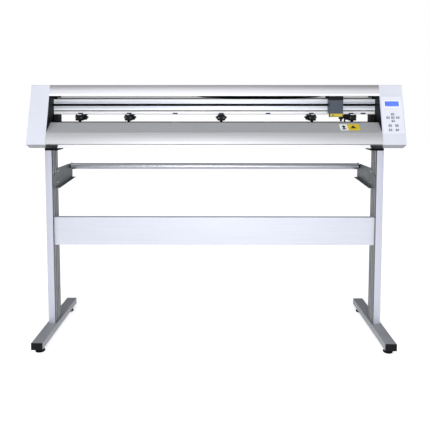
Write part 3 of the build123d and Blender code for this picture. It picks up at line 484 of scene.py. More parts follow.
def spin(bm, profile, origin, axis, steps):
    """Spin (distance along, radius) points about an axis, into a mesh. Ends at radius 0 are closed."""
    axis = Vector(axis).normalized()
    side = axis.orthogonal().normalized()
    third = axis.cross(side)
    rings = []
    for along, radius in profile:
        centre = Vector(origin) + axis * along
        if radius <= 1e-7:
            rings.append([bm.verts.new(centre)])
        else:
            rings.append([bm.verts.new(centre + (side * math.cos(t) + third * math.sin(t)) * radius)
                          for t in (2 * math.pi * k / steps for k in range(steps))])
    for a, b in zip(rings, rings[1:]):
        for k in range(steps):
            n = (k + 1) % steps
            if len(a) == 1 and len(b) > 1:
                bm.faces.new((a[0], b[n], b[k]))
            elif len(b) == 1 and len(a) > 1:
                bm.faces.new((a[k], a[n], b[0]))
            elif len(a) > 1:
                bm.faces.new((a[k], a[n], b[n], b[k]))


def turned(name, profile, origin, axis, finishes, body, steps=40, slot=None):
    """A piece that is one spun profile."""
    bm = bmesh.new()
    spin(bm, profile, origin, axis, steps)
    return solid(name, bm, finishes, body, slot)


# %% [markdown]
# ### A small kit for Geometry Nodes
# A tree is described by its named inputs and a function that wires its nodes.

# %% Build and run node trees
class Tree:
    def __init__(self, name, **inputs):
        self.group = bpy.data.node_groups.new(name, "GeometryNodeTree")
        face = self.group.interface
        face.new_socket("Geometry", in_out="INPUT", socket_type="NodeSocketGeometry")
        face.new_socket("Geometry", in_out="OUTPUT", socket_type="NodeSocketGeometry")
        kinds = {float: "NodeSocketFloat", int: "NodeSocketInt", tuple: "NodeSocketVector",
                 type(None): "NodeSocketMaterial"}
        self.ids = {}
        for label, value in inputs.items():
            socket = face.new_socket(label.replace("_", " ").title(), in_out="INPUT",
                                     socket_type=kinds[type(value)])
            if value is not None:
                socket.default_value = value
            self.ids[label] = socket.identifier
        self.start = self.group.nodes.new("NodeGroupInput")
        self.end = self.group.nodes.new("NodeGroupOutput")

    def take(self, label):
        return self.start.outputs[label.replace("_", " ").title()]

    def node(self, kind, inputs=(), **settings):
        made = self.group.nodes.new(kind)
        for key, value in settings.items():
            setattr(made, key, value)
        for key, value in dict(inputs).items():
            socket = made.inputs[key]
            if isinstance(value, bpy.types.NodeSocket):
                self.group.links.new(value, socket)
            else:
                socket.default_value = value
        return made

    def out(self, kind, inputs=(), **settings):
        return self.node(kind, inputs, **settings).outputs[0]

    def maths(self, how, a, b=0.0):
        return self.out("ShaderNodeMath", {0: a, 1: b}, operation=how)

    def vector(self, x=0.0, y=0.0, z=0.0):
        return self.out("ShaderNodeCombineXYZ", {0: x, 1: y, 2: z})

    def join(self, *geometry):
        made = self.group.nodes.new("GeometryNodeJoinGeometry")
        for g in geometry:
            self.group.links.new(g, made.inputs[0])
        return made.outputs[0]

    def finish(self, geometry):
        real = self.out("GeometryNodeRealizeInstances", {"Geometry": geometry})
        painted = self.out("GeometryNodeSetMaterial", {"Geometry": real, "Material": self.take("finish")})
        self.group.links.new(painted, self.end.inputs[0])


def grow(name, tree, body, slot=None, carrier=None, angle=30, **values):
    """Run a tree on a carrier mesh and keep the result as a plain piece."""
    mesh = carrier or bpy.data.meshes.new(name)
    obj = bpy.data.objects.new(name, mesh)
    bpy.context.scene.collection.objects.link(obj)
    modifier = obj.modifiers.new(name, "NODES")
    modifier.node_group = tree.group
    for label, value in values.items():
        modifier[tree.ids[label]] = value
    keep_result(obj)
    obj.data.polygons.foreach_set("use_smooth", [True] * len(obj.data.polygons))
    obj.data.set_sharp_from_angle(angle=math.radians(angle))
    if body:
        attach(obj, body)
    return obj


# %% [markdown]
# ## Stand
# The columns are hollow extrusions with three shallow grooves down each side, the crossbar is a finely ribbed
# extrusion, and the foot bars are painted tubes with black plugs. Softened copies of the solids keep their exact
# size and add the small radius that catches light along every real edge. Each roll bracket also has a folded flange,
# bolted flat to its column, which is laid on as a thin plate.

# %% Columns, foot bars, plugs and brackets
for node, width in (("left_foot_bar", 0.8), ("right_foot_bar", 0.8), ("foot_end_plugs", 1.2),
                    ("column_brackets", 0.8)):
    softened(node, width * MM)
for side in ("left", "right"):
    # Side faces of each column take the darker copy: painted shade.
    softened(f"{side}_column", 0.9 * MM, second="column_side", test=lambda n: abs(n.x) > 0.5)
    softened(f"{side}_roll_bracket", 0.5 * MM, finish_name="bracket_grey")
flange_front, flange_thick, proud = -0.0540, 0.0022, 0.0001
for side, node in ((1, "left"), (-1, "right")):
    low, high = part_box(f"{node}_roll_bracket")
    face_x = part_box(f"{node}_column")[1 if side > 0 else 0].x + proud * side
    flange = [(flange_front, low.z + 0.002), (low.y + 0.001, low.z + 0.002),
              (low.y + 0.001, high.z - 0.020), (flange_front, high.z - 0.030)]
    plate(f"{node}_roll_flange", flange[::side], (face_x, 0, 0), BACK, UP,
          flange_thick * side, finish["bracket_grey"], "root", 0.0004, "foot_grey")
    print(node, "flange", [round(c, 4) for c in low], [round(c, 4) for c in high])

# %% [markdown]
# ### Crossbar
# Its front is a row of flat ribs with narrow grooves between them. A rule makes that: one slat, repeated upwards at
# the groove pitch, over a plain core. A Geometry Nodes tree with the length, height, depth and number of grooves as
# inputs keeps the rule in one place.

# %% Ribbed crossbar
ribbed = Tree("ribbed_bar", low=(0.0, 0.0, 0.0), length=1.0, height=0.1, depth=0.03, ribs=15, groove=0.0016,
              sink=0.0008, finish=None)
length, sink = ribbed.take("length"), ribbed.take("sink")
pitch = ribbed.maths("DIVIDE", ribbed.take("height"), ribbed.take("ribs"))
rib_high = ribbed.maths("SUBTRACT", pitch, ribbed.take("groove"))
half_length = ribbed.maths("MULTIPLY", length, 0.5)
core_depth = ribbed.maths("SUBTRACT", ribbed.take("depth"), sink)
core = ribbed.out("GeometryNodeMeshCube", {"Size": ribbed.vector(length, core_depth, ribbed.take("height"))})
core = ribbed.node("GeometryNodeTransform", {"Geometry": core, "Translation": ribbed.vector(
    half_length, ribbed.maths("ADD", sink, ribbed.maths("MULTIPLY", core_depth, 0.5)),
    ribbed.maths("MULTIPLY", ribbed.take("height"), 0.5))}).outputs[0]
rib_deep = ribbed.maths("MULTIPLY", sink, 2.0)
slat = ribbed.out("GeometryNodeMeshCube", {"Size": ribbed.vector(length, rib_deep, rib_high)})
line = ribbed.node("GeometryNodeMeshLine", {"Count": ribbed.take("ribs"), "Offset": ribbed.vector(0.0, 0.0,
                                                                                                  pitch),
    "Start Location": ribbed.vector(half_length, sink, ribbed.maths("MULTIPLY", pitch, 0.5))}).outputs[0]
slats = ribbed.out("GeometryNodeInstanceOnPoints", {"Points": line, "Instance": slat})
placed = ribbed.out("GeometryNodeTransform",
                    {"Geometry": ribbed.join(core, slats), "Translation": ribbed.take("low")})
ribbed.finish(placed)

low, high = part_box("crossbar")
crossbar = grow("crossbar_ribbed", ribbed, "root", "crossbar_silver", low=tuple(low), length=high.x - low.x,
                height=high.z - low.z, depth=high.y - low.y, ribs=15, groove=0.0014, sink=0.0008,
                finish=finish["crossbar_silver"])
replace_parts(crossbar, "crossbar")
print("crossbar faces", len(crossbar.data.polygons), "height", round(high.z - low.z, 4))

# %% [markdown]
# ### Levelling feet
# A rubber pad with a moulded, ribbed rim screws up and down on a steel stud, locked by a hex nut. The pads and studs
# are turned pieces, and one tree sets ribs in a ring round any axis: it also serves the knob and the pulleys.

# %% Ribs in a ring
ring = Tree("ribs_in_a_ring", centre=(0.0, 0.0, 0.0), turn=(0.0, 0.0, 0.0), count=24, radius=0.02,
            size=(0.001, 0.001, 0.005), finish=None)
circle = ring.out("GeometryNodeMeshCircle", {"Vertices": ring.take("count"), "Radius": ring.take("radius")})
spot = ring.out("GeometryNodeInputPosition")
facing = ring.out("FunctionNodeAlignRotationToVector", {"Vector": spot}, axis="X", pivot_axis="Z")
rib = ring.out("GeometryNodeMeshCube", {"Size": ring.take("size")})
ribs = ring.out("GeometryNodeInstanceOnPoints", {"Points": circle, "Instance": rib, "Rotation": facing})
ribs = ring.out("GeometryNodeTransform", {
    "Geometry": ribs, "Translation": ring.take("centre"), "Rotation": ring.take("turn")})
ring.finish(ribs)

# %% Pads, studs and nuts
foot_low, foot_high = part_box("leveling_feet")
pad_bm, stud_bm = bmesh.new(), bmesh.new()
pad_r, stud_r, stud_top = 0.020, 0.0045, 0.034
thread_start, thread_pitch = 0.0085, 0.00085
pad = [(0, 0), (0, pad_r - 0.0015), (0.0012, pad_r - 0.0006), (0.0055, pad_r - 0.0006), (0.0068, pad_r - 0.002),
       (0.0080, pad_r - 0.006), (0.0080, 0)]
stud = [(0.008, 0), (0.008, 0.0046)]
for k in range(9):
    stud += [(thread_start + k * thread_pitch, 0.0050), (thread_start + 0.0004 + k * thread_pitch, stud_r)]
stud += [(stud_top, stud_r), (stud_top, 0)]
nut = [(0.0165, 0.0047), (0.0165, 0.0082), (0.0170, 0.0090), (0.0215, 0.0090), (0.0220, 0.0082),
       (0.0220, 0.0047)]
foot_places = []
for fx in (foot_low.x + pad_r, foot_high.x - pad_r):
    for fy in (foot_low.y + pad_r, foot_high.y - pad_r):
        foot_places.append((fx, fy))
        spin(pad_bm, pad, (fx, fy, 0), UP, 48)
        spin(stud_bm, stud, (fx, fy, 0), UP, 24)
        spin(stud_bm, nut, (fx, fy, 0), UP, 6)
for bm, name, kind in ((pad_bm, "leveling_pads", "rubber"), (stud_bm, "leveling_studs", "steel")):
    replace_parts(solid(name, bm, finish[kind], "root", kind), "leveling_feet")
for k, (fx, fy) in enumerate(foot_places):
    grow(f"pad_ribs_{k}", ring, "root", "rubber", centre=(fx, fy, 0.0034), count=36, radius=pad_r - 0.0006,
         size=(0.0011, 0.0012, 0.0040), finish=finish["rubber"])
print("feet at", [(round(x, 3), round(y, 3)) for x, y in foot_places])

# %% [markdown]
# ### Media roll rod
# A plated tube with a black plug in each end. The plug's journal drops into the open seat of the bracket. The rod is
# turned in three parts, so that the plugs are black and the tube has its rolled rim.

# %% Tube and end plugs
low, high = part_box("roll_rod")
rod_y, rod_z, tube_r = (low.y + high.y) / 2, (low.z + high.z) / 2, (high.y - low.y) / 2
journal = 0.0145                     # from the end of the tube to the end of the plug
journal_r = 0.0090
tube_half = (high.x - low.x) / 2 - journal
rod_x = (high.x + low.x) / 2
tube = turned("rod_tube", [(-tube_half, tube_r - 0.002), (-tube_half, tube_r - 0.0006),
                           (-tube_half + 0.0006, tube_r),
                           (tube_half - 0.0006, tube_r), (tube_half, tube_r - 0.0006),
                           (tube_half, tube_r - 0.002)],
              (rod_x, rod_y, rod_z), RIGHT, finish["chrome_tube"], "roll_rod", 64, slot="chrome_tube")
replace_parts(tube, "roll_rod")
for side in (-1, 1):
    end = side * ((high.x - low.x) / 2)
    shoulder = side * tube_half
    turned(f"rod_plug_{'left' if side < 0 else 'right'}",
           [(shoulder - side * 0.004, tube_r - 0.0022), (shoulder + side * 0.0002, tube_r - 0.0022),
            (shoulder + side * 0.0014, tube_r - 0.0030), (shoulder + side * 0.0014, journal_r),
            (end - side * 0.0010, journal_r), (end, journal_r - 0.001), (end, 0)],
           (rod_x, rod_y, rod_z), RIGHT, finish["black_plastic"], "roll_rod", 48, slot="black_plastic")
print("rod", round(2 * tube_half, 3), "long, radius", round(tube_r, 4))

# %% [markdown]
# ## Head covers
# The end caps are painted shells, and the top, front and rear covers and the bed are long folded sheets. Softened
# copies again, with a wider radius on the painted caps than on the thin sheets.

# %% Caps, covers, bed and base
for node in ("left_end_cap", "right_end_cap"):
    # Faces of the caps that look down take a darker copy of the cap paint: painted shade.
    softened(node, 1.3 * MM, 3, 20, second="cap_shade", test=lambda n: n.z < -0.5)
for node in ("rear_cover", "base_channel"):
    softened(node, 0.5 * MM, 2, 12)
softened("top_cover", 0.5 * MM, 2, 12, "top_silver", second="cover_silver", test=lambda n: n.z > 0.9)
# Faces of the front cover that look down take the bright beam white: painted light.
softened("front_cover", 0.5 * MM, 2, 12, "front_silver", second="beam_white", test=lambda n: n.z < -0.5)
# The flat top faces of the bed take a dark finish, and so does the cutting strip.
softened("platen", 0.5 * MM, 2, 20, second="bed_top_dark", test=lambda n: n.z > 0.97)
softened("cutting_strip", 0.3 * MM, finish_name="bed_top_dark")
for node in ("left_end_plate", "right_end_plate"):
    softened(node, 0.6 * MM)

# %% [markdown]
# ### Lips of the column brackets
# Each black bracket turns up in front and lies against the slanted underside of the front cover, so that the head
# can't slide forward on its columns. The lip is a thin plate on that slope. A narrow grey line along the fold above
# it is painted shade.

# %% Bracket lips and painted shade line
bracket_low, bracket_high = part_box("column_brackets")
fold_rise = 0.0175                   # the underside rises this much from its rear edge to the front fold
under_up = Vector((0, front_low.y + 0.0002 - front_high.y, fold_rise))
under_long = under_up.length
for name, x, turn in (("left", bracket_low.x + 0.029, 1), ("right", bracket_high.x - 0.029, -1)):
    lip_at = Vector((x, front_high.y - 0.0004, front_low.z - 0.0010))
    outline = [(-0.015 * turn, 0.0015), (0.036 * turn, 0.0015),
               (0.054 * turn, under_long - 0.001), (0.001 * turn, under_long - 0.001)]
    plate(f"bracket_lip_{name}", outline[::turn], lip_at, RIGHT, under_up, 0.0008,
          finish["black_metal"], "root", 0.0002, "black_metal")
# Painted shade: a narrow grey line along the fold of the front cover.
plate("front_hem", oblong(2 * half_opening - 0.004, 0.0028),
      (middle_x, front_low.y, front_low.z + fold_rise + 0.0015),
      RIGHT, UP, 0.0003, finish["bracket_grey"], "root", 0.0, "foot_grey")
print("lip length", round(under_long, 4))

# %% [markdown]
# ### Painted highlight on the nosing of the top cover
# The front of the top cover ends in a bright white strip, lighter than the sheet above it: a painted highlight.
# It is a thin plate that follows the slope of the cover's front face, laid a few tenths of a millimetre proud.

# %% Painted highlight strip
nose_run, nose_rise = 0.0148, 0.0472     # the front face leans back by this much over its height
nose_up = Vector((0, nose_run, nose_rise)).normalized()
nose_out = RIGHT.cross(nose_up)
lip_tall = 0.0100
plate("cover_lip", [(-half_opening, 0), (half_opening, 0), (half_opening, lip_tall), (-half_opening, lip_tall)],
      Vector((middle_x, top_low.y, top_low.z)) + nose_out * 0.0001, RIGHT, nose_up, 0.0005,
      finish["beam_white"], "root", 0.0002, "beam_white")
print("lip", lip_tall, "m tall, lean", round(math.degrees(math.atan2(nose_run, nose_rise)), 1), "degrees")

# %% [markdown]
# ## Beam, belt and feed
# The beam is one white extrusion with a deep slot for the toothed belt and a small groove that keeps the carriage
# on. Navy marks along its lower edge show where the grit rollers lie underneath. Thin plates lay painted shade on
# it: a pale blue-grey band on each side of the slot, a black painted shadow on the floor of the groove and a grey
# line along its lower edge. Behind the face, one more plate is the ledge that the cable lies on.

# %% Beam, marks over the rollers
softened("main_beam", 0.6 * MM)
beam_low, beam_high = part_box("main_beam")
grit_x = [x * MM + middle_x for x in (-600, -381, -175, 32, 242, 436, 614, 667)]
pinch_x = [x * MM + middle_x for x in (-600, -381, 32, 436, 614)]
sunk = 0.00002                       # a laid-on strip starts this far inside the face, so that no gap shows
for k, x in enumerate(grit_x):
    plate(f"grit_mark_{k}", oblong(0.022, 0.0070, 0.0012), (x, beam_low.y + sunk, beam_low.z + 0.0037), RIGHT,
          UP,
          0.0003, ink["navy"], "root")
long = 2 * half_opening - 0.004
strips = (  # name, depth behind the face, lower and upper edge above the beam's foot, thickness, finish, slot
    # The first four rows are painted shade; the last row is the cable ledge.
    ("rail_upper", sunk, 0.0487, 0.0580, 0.0002, "rail_steel", "steel"),
    ("rail_lower", sunk, 0.0270, 0.0363, 0.0002, "rail_steel", "steel"),
    ("groove_floor", 0.0046, 0.0137, 0.0178, 0.0002, "black_metal", "black_metal"),
    ("beam_toe", sunk, 0.0003, 0.0022, 0.0002, "foot_grey", "foot_grey"),
    ("cable_ledge", 0.0480, 0.0682, 0.0772, 0.0015, "platen_grey", "platen_grey"),
)
for name, back, low_z, high_z, thick, made, kind in strips:
    plate(name, oblong(long, high_z - low_z), (middle_x, beam_low.y + back, beam_low.z + (low_z + high_z) / 2),
          RIGHT, UP, thick, finish[made], "root", 0.0, kind)
print("marks", len(grit_x), "beam", [round(c, 4) for c in beam_high - beam_low])

# %% [markdown]
# ### Belt teeth
# The belt is a rubber loop with square teeth on its inner face at a 5 mm pitch. A tree resamples the loop's line at
# that pitch and puts a tooth on each point, turned to the loop's direction.

# %% Toothed belt
teeth = Tree("teeth_along_a_line", pitch=0.005, size=(0.002, 0.0006, 0.009), finish=None)
loop = teeth.out("GeometryNodeMeshToCurve", {"Mesh": teeth.take("geometry")})
even = teeth.out("GeometryNodeResampleCurve", {"Curve": loop, "Length": teeth.take("pitch")}, mode="LENGTH")
heading = teeth.out("GeometryNodeInputTangent")
turn = teeth.out("FunctionNodeAlignRotationToVector", {"Vector": heading}, axis="X", pivot_axis="Z")
tooth = teeth.out("GeometryNodeMeshCube", {"Size": teeth.take("size")})
row = teeth.out("GeometryNodeInstanceOnPoints", {"Points": even, "Instance": tooth, "Rotation": turn})
teeth.finish(row)
belt_low, belt_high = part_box("drive_belt")
belt_mid_y, belt_z = (belt_low.y + belt_high.y) / 2, (belt_low.z + belt_high.z) / 2
belt_r = (belt_high.y - belt_low.y) / 2 - 0.0017
reach = (belt_high.x - belt_low.x) / 2 - (belt_high.y - belt_low.y) / 2
line = []
for end, start in ((reach, -90), (-reach, 90)):
    for k in range(13):
        a = math.radians(start + 180 * k / 12)
        line.append((middle_x + end + belt_r * math.cos(a), belt_mid_y + belt_r * math.sin(a), belt_z))
carrier = bpy.data.meshes.new("belt_line")
carrier.from_pydata(line, [(k, (k + 1) % len(line)) for k in range(len(line))], [])
belt_teeth = grow("belt_teeth", teeth, "root", "rubber", carrier, pitch=0.005,
                  size=(0.0024, 0.0005, belt_high.z - belt_low.z), finish=finish["rubber"])
print("belt teeth", len(belt_teeth.data.polygons) // 6)

# %% [markdown]
# ### Grit shaft
# Sintered grit bands pull the media. The shaft is turned once with all its bands, and a tree scatters small
# pyramids over the bands with a fixed seed, as the real sintered surface is a scatter of hard grains.

# %% Shaft, bands and grains
shaft_low, shaft_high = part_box("grit_shaft")
shaft_y, shaft_z = (shaft_low.y + shaft_high.y) / 2, (shaft_low.z + shaft_high.z) / 2
core_r, band_r, band_half = 0.006, (shaft_high.z - shaft_low.z) / 2, 0.015
profile = [(shaft_low.x, 0), (shaft_low.x, core_r - 0.0005), (shaft_low.x + 0.0005, core_r)]
for x in sorted(grit_x):
    start, end = x - band_half, x + band_half
    profile += [(start, core_r), (start, band_r - 0.0006), (start + 0.0005, band_r - 0.0001),
                (end - 0.0005, band_r - 0.0001), (end, band_r - 0.0006), (end, core_r)]
profile += [(shaft_high.x - 0.0005, core_r), (shaft_high.x, core_r - 0.0005), (shaft_high.x, 0)]
shaft = turned("grit_shaft_turned", profile, (0, shaft_y, shaft_z), RIGHT, finish["steel"], "feed_shaft", 36,
               "steel")
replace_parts(shaft, "grit_shaft")
scatter = Tree("scattered_grains", density=60000.0, grain=0.0004, seed=7, finish=None)
where = scatter.node("GeometryNodeDistributePointsOnFaces", {
    "Mesh": scatter.take("geometry"), "Density": scatter.take("density"), "Seed": scatter.take("seed")})
grain = scatter.out("GeometryNodeMeshCone", {
    "Vertices": 4, "Radius Top": 0.0, "Radius Bottom": scatter.take("grain"), "Depth": scatter.take("grain")})
grains = scatter.out("GeometryNodeInstanceOnPoints", {
    "Points": where.outputs["Points"], "Instance": grain, "Rotation": where.outputs["Rotation"]})
scatter.finish(grains)
bands = bmesh.new()
for x in grit_x:
    spin(bands, [(x - 0.0144, band_r - 0.00035), (x + 0.0144, band_r - 0.00035)], (0, shaft_y, shaft_z),
         RIGHT, 24)
bmesh.ops.recalc_face_normals(bands, faces=bands.faces)
for f in bands.faces:
    middle = f.calc_center_median()
    if f.normal.dot(middle - Vector((middle.x, shaft_y, shaft_z))) < 0:
        f.normal_flip()
band_mesh = bpy.data.meshes.new("grit_bands")
bands.to_mesh(band_mesh)
bands.free()
grit = grow("grit_grains", scatter, "feed_shaft", "steel", band_mesh, density=60000.0, grain=0.00045, seed=7,
            finish=finish["steel"])
print("grains", len(grit.data.polygons) // 5, "bands", len(grit_x))

# %% [markdown]
# ### Pinch arms and rollers
# Each black arm swings on the steel bar behind the beam and presses the rubber roller at its nose down on the media.
# The arm is a softened copy of its solid. Its two cap screws and two rivets are small turned pieces, joined in one
# mesh, and the roller has a grooved tread on a steel axle.

# %% Arms, screws and rollers
cap_screw = [(0.0, 0.0), (0.0, 0.0030), (0.0008, 0.0034), (0.0018, 0.0034), (0.0024, 0.0028), (0.0024, 0.0016),
             (0.0012, 0.0014), (0.0012, 0)]
rivet = [(0.0, 0.0), (0.0, 0.0026), (0.0010, 0.0031), (0.0020, 0.0026), (0.0020, 0.0)]
for number, x in enumerate(pinch_x, 1):
    softened(f"pinch_arm_{number}", 1.0 * MM, 2, 28)
    low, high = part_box(f"pinch_arm_{number}")
    heads = bmesh.new()
    for screw_x in (x - 0.0115, x + 0.0115):
        spin(heads, cap_screw, (screw_x, low.y + 0.0095, low.z + 0.0251), UP, 20)
        spin(heads, rivet, (screw_x, low.y + 0.0004, low.z + 0.0125), -BACK, 20)
    solid(f"arm_screws_{number}", heads, finish["dark_steel"], f"pinch_arm_{number}", "steel")
    roller = f"pinch_roller_{number}"
    low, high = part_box(roller)
    centre = (x, (low.y + high.y) / 2, (low.z + high.z) / 2)
    rr, half = (high.z - low.z) / 2, (high.x - low.x) / 2
    tread = [(-0.006, 0.0035), (-0.006, rr - 0.0012), (-0.0052, rr - 0.0003)]
    for k in range(5):
        t = -0.0044 + k * 0.0022
        tread += [(t - 0.0007, rr), (t + 0.0007, rr), (t + 0.0009, rr - 0.0004), (t + 0.0013, rr - 0.0004)]
    tread = tread[:-2] + [(0.0052, rr - 0.0003), (0.006, rr - 0.0012), (0.006, 0.0035)]
    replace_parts(turned(f"roller_tread_{number}", tread, centre, RIGHT, finish["rubber"], roller, 40,
                       "rubber"), roller)
    axle = [(-half, 0), (-half, 0.0016), (-half + 0.0004, 0.0020), (-0.0062, 0.0020), (-0.0062, 0.0036)]
    axle += [(-along, radius) for along, radius in reversed(axle)]
    turned(f"roller_axle_{number}", axle, centre, RIGHT, finish["steel"], roller, 28, "steel")
print("arms", len(pinch_x), "roller radius", round(rr, 4))

# %% [markdown]
# ## Carriage
# A slate-coloured moulded cover with a black upper part and a yellow band across its lower front, which warns of the
# blade. The cover's solid is cut by one level plane, so that its faces can take the two colours along a clean line.

# %% Cover in two colours, band and seam
cc_low, cc_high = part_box("carriage_cover")
bm = merged_copy("carriage_cover")
split_z = cc_high.z - 0.0165
bmesh.ops.bisect_plane(bm, geom=bm.verts[:] + bm.edges[:] + bm.faces[:], dist=1e-6,
                       plane_co=(0, 0, split_z), plane_no=UP)
for f in bm.faces:
    f.material_index = 1 if f.calc_center_median().z > split_z else 0
softened("carriage_cover", 1.6 * MM, 3, 30, bm=bm, extra=(finish["black_plastic"],))
cc_mid = (cc_low.x + cc_high.x) / 2
wide = cc_high.x - cc_low.x
band_z = cc_low.z + 0.0083
plate("warning_band", oblong(wide - 0.0044, 0.0125, 0.0012), (cc_mid, cc_low.y + 0.00005, band_z), RIGHT, UP,
      0.0003,
      ink["band_yellow"], "carriage")
plate("band_mark", [(-0.004, -0.0032), (0.004, -0.0032), (0.0, 0.0040)],
      (cc_mid - 0.015, cc_low.y - 0.0002, band_z),
      RIGHT, UP, 0.0002, ink["dark"], "carriage")
plate("cover_seam", oblong(wide - 0.0030, 0.0007), (cc_mid, cc_low.y + 0.00005, split_z), RIGHT, UP, 0.0002,
      ink["gap"], "carriage")
softened("carriage_plate", 0.6 * MM)
print("cover", [round(c, 4) for c in cc_high - cc_low], "split at", round(split_z, 4))

# %% [markdown]
# ### Tool holder
# A clamp block carries the holder with its blade: a black sleeve under a grooved brass cap. A ribbed knob from the
# right locks it, and a small black guard stands beside it. The knob's grip is a ring of ribs from the same tree as
# the levelling pads.

# %% Block, holder, blade and ribbed knob
softened("tool_slide", 0.6 * MM)
low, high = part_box("blade_holder")
hx, hy, hr = (low.x + high.x) / 2, (low.y + high.y) / 2, 0.005
cap_r = (high.x - low.x) / 2
cap_z, blade_r = low.z + 0.0314, 0.0011
profile = [(low.z, blade_r), (low.z, 0.003), (low.z + 0.002, hr), (cap_z, hr), (cap_z, cap_r)]
for groove in (cap_z + 0.0011, cap_z + 0.0029):
    profile += [(groove, cap_r), (groove + 0.0003, cap_r - 0.0004), (groove + 0.0009, cap_r - 0.0004),
                (groove + 0.0012, cap_r)]
profile += [(cap_z + 0.0050, cap_r), (cap_z + 0.0051, hr - 0.0004), (high.z - 0.0005, hr - 0.0004),
            (high.z, hr - 0.001), (high.z, blade_r)]
holder = turned("blade_holder_turned", profile, (hx, hy, 0), UP, finish["brass"], "tool", 40, "brass")
holder.data.materials.append(finish["black_metal"])
for f in holder.data.polygons:
    if f.center.z < cap_z - 0.0089:
        f.material_index = 1
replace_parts(holder, "blade_holder")
low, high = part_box("tool_slide")
plate("tool_guard", oblong(0.0065, 0.0330, 0.0012), (high.x + 0.0078, low.y + 0.012, low.z + 0.005), RIGHT,
      UP, 0.0050,
      finish["black_metal"], "carriage", 0.0005, "black_metal")
low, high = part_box("clamp_knob")
ky, kz, kr = (low.y + high.y) / 2, (low.z + high.z) / 2, (high.z - low.z) / 2
grip_start = high.x - 0.015
profile = [(low.x, 0), (low.x, 0.0023), (low.x + 0.0002, 0.0025), (grip_start, 0.0025),
           (grip_start, kr - 0.0018),
           (grip_start + 0.0008, kr - 0.0008), (high.x - 0.0016, kr - 0.0008), (high.x - 0.0004, kr - 0.0020),
           (high.x, kr - 0.0034), (high.x - 0.0006, 0.0022), (high.x - 0.0006, 0)]
black = finish["black_plastic"]
knob = turned("clamp_knob_turned", profile, (0, ky, kz), RIGHT, black, "clamp_knob", 40, "black_plastic")
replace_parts(knob, "clamp_knob")
grow("clamp_knob_ribs", ring, "clamp_knob", "black_plastic",
     centre=((grip_start + high.x) / 2 - 0.0004, ky, kz),
     turn=(0.0, math.pi / 2, 0.0), count=22, radius=kr - 0.0009, size=(0.0014, 0.0010, 0.0122), finish=black)
print("knob radius", round(kr, 4), "holder radius", hr)

# %% [markdown]
# ### Ribbon cable
# A flat cable of many parallel conductors hangs from a clip under the top cover and joins the carriage. It sags a
# little between the two. A tree lays one line beside another at the conductor pitch and gives each a round section.

# %% Clip, flat cable and arm
flat = Tree("flat_cable", conductors=18, pitch=0.0011, radius=0.0006, finish=None)
middle = flat.out("GeometryNodeMeshToCurve", {"Mesh": flat.take("geometry")})
width = flat.maths("MULTIPLY", flat.maths("SUBTRACT", flat.take("conductors"), 1.0), flat.take("pitch"))
first = flat.maths("MULTIPLY", width, -0.5)
across = flat.out("GeometryNodeMeshLine", {"Count": flat.take("conductors"),
                                           "Start Location": flat.vector(0.0, 0.0, first),
                                           "Offset": flat.vector(0.0, 0.0, flat.take("pitch"))})
lines = flat.out("GeometryNodeInstanceOnPoints", {"Points": across, "Instance": middle})
lines = flat.out("GeometryNodeRealizeInstances", {"Geometry": lines})
section = flat.out("GeometryNodeCurvePrimitiveCircle", {"Resolution": 8, "Radius": flat.take("radius")})
flat.finish(flat.out("GeometryNodeCurveToMesh", {"Curve": lines, "Profile Curve": section, "Fill Caps": True}))
rib_low, rib_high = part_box("ribbon_cable")
ribbon_y = (rib_low.y + rib_high.y) / 2
start_x, end_x = rib_low.x + 0.004, rib_high.x + 0.006
lowest, sag, steps = rib_low.z + 0.0043, 0.0135, 48
points = []
for k in range(steps + 1):
    t = k / steps
    points.append((start_x + (end_x - start_x) * t, ribbon_y, lowest + sag * abs(2 * t - 1) ** 3))
carrier = bpy.data.meshes.new("ribbon_line")
carrier.from_pydata(points, [(k, k + 1) for k in range(steps)], [])
ribbon = grow("ribbon_conductors", flat, None, "black_plastic", carrier, conductors=13, pitch=0.0011,
              radius=0.0006,
              finish=black)
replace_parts(ribbon, "ribbon_cable")
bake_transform(ribbon)
clip = bmesh.new()
slit, cheek, clip_low, clip_top = 0.0008, 0.0030, rib_low.z + 0.0085, rib_low.z + 0.0275
for x0, x1, y0, y1, z0, z1 in (
        (rib_low.x, rib_low.x + 0.018, ribbon_y - cheek, ribbon_y - slit, clip_low, clip_top),
        (rib_low.x, rib_low.x + 0.018, ribbon_y + slit, ribbon_y + cheek, clip_low, clip_top),
        (rib_low.x + 0.001, rib_low.x + 0.017, ribbon_y - cheek, ribbon_y + cheek, clip_top - 0.001,
         rib_high.z)):
    verts = [clip.verts.new((x, y, z)) for x in (x0, x1) for y in (y0, y1) for z in (z0, z1)]
    for corners in ((0, 1, 3, 2), (4, 6, 7, 5), (0, 4, 5, 1), (2, 3, 7, 6), (0, 2, 6, 4), (1, 5, 7, 3)):
        clip.faces.new([verts[i] for i in corners])
solid("ribbon_clip", clip, black, "root", "black_plastic", 0.0006)
plate_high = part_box("carriage_plate")[1]
arm_wide, arm_long = 0.022, rib_high.y - plate_high.y + 0.010
plate("ribbon_arm", [(0, 0), (arm_wide, 0), (arm_wide, arm_long), (0, arm_long)],
      (end_x - 0.002, plate_high.y - 0.010, plate_high.z + 0.00005), RIGHT, BACK, 0.002,
      finish["black_metal"], "carriage", 0.0004, "black_metal")
plate("ribbon_clamp", oblong(0.016, 0.024, 0.002), (end_x + 0.008, ribbon_y, plate_high.z + 0.002), RIGHT,
      BACK, 0.0215,
      black, "carriage", 0.0006, "black_plastic")
print("ribbon", round(end_x - start_x, 3), "long,", len(ribbon.data.polygons), "faces")

# %% [markdown]
# ## Control panel
# A printed film on the sloping face of the right cap, with a lit display in a white surround and nine keys. Film and
# keys are softened copies. The surround, the bars on the display and the plain symbols on the keys are thin plates
# laid on the slope, whose direction comes from two keys in one column.

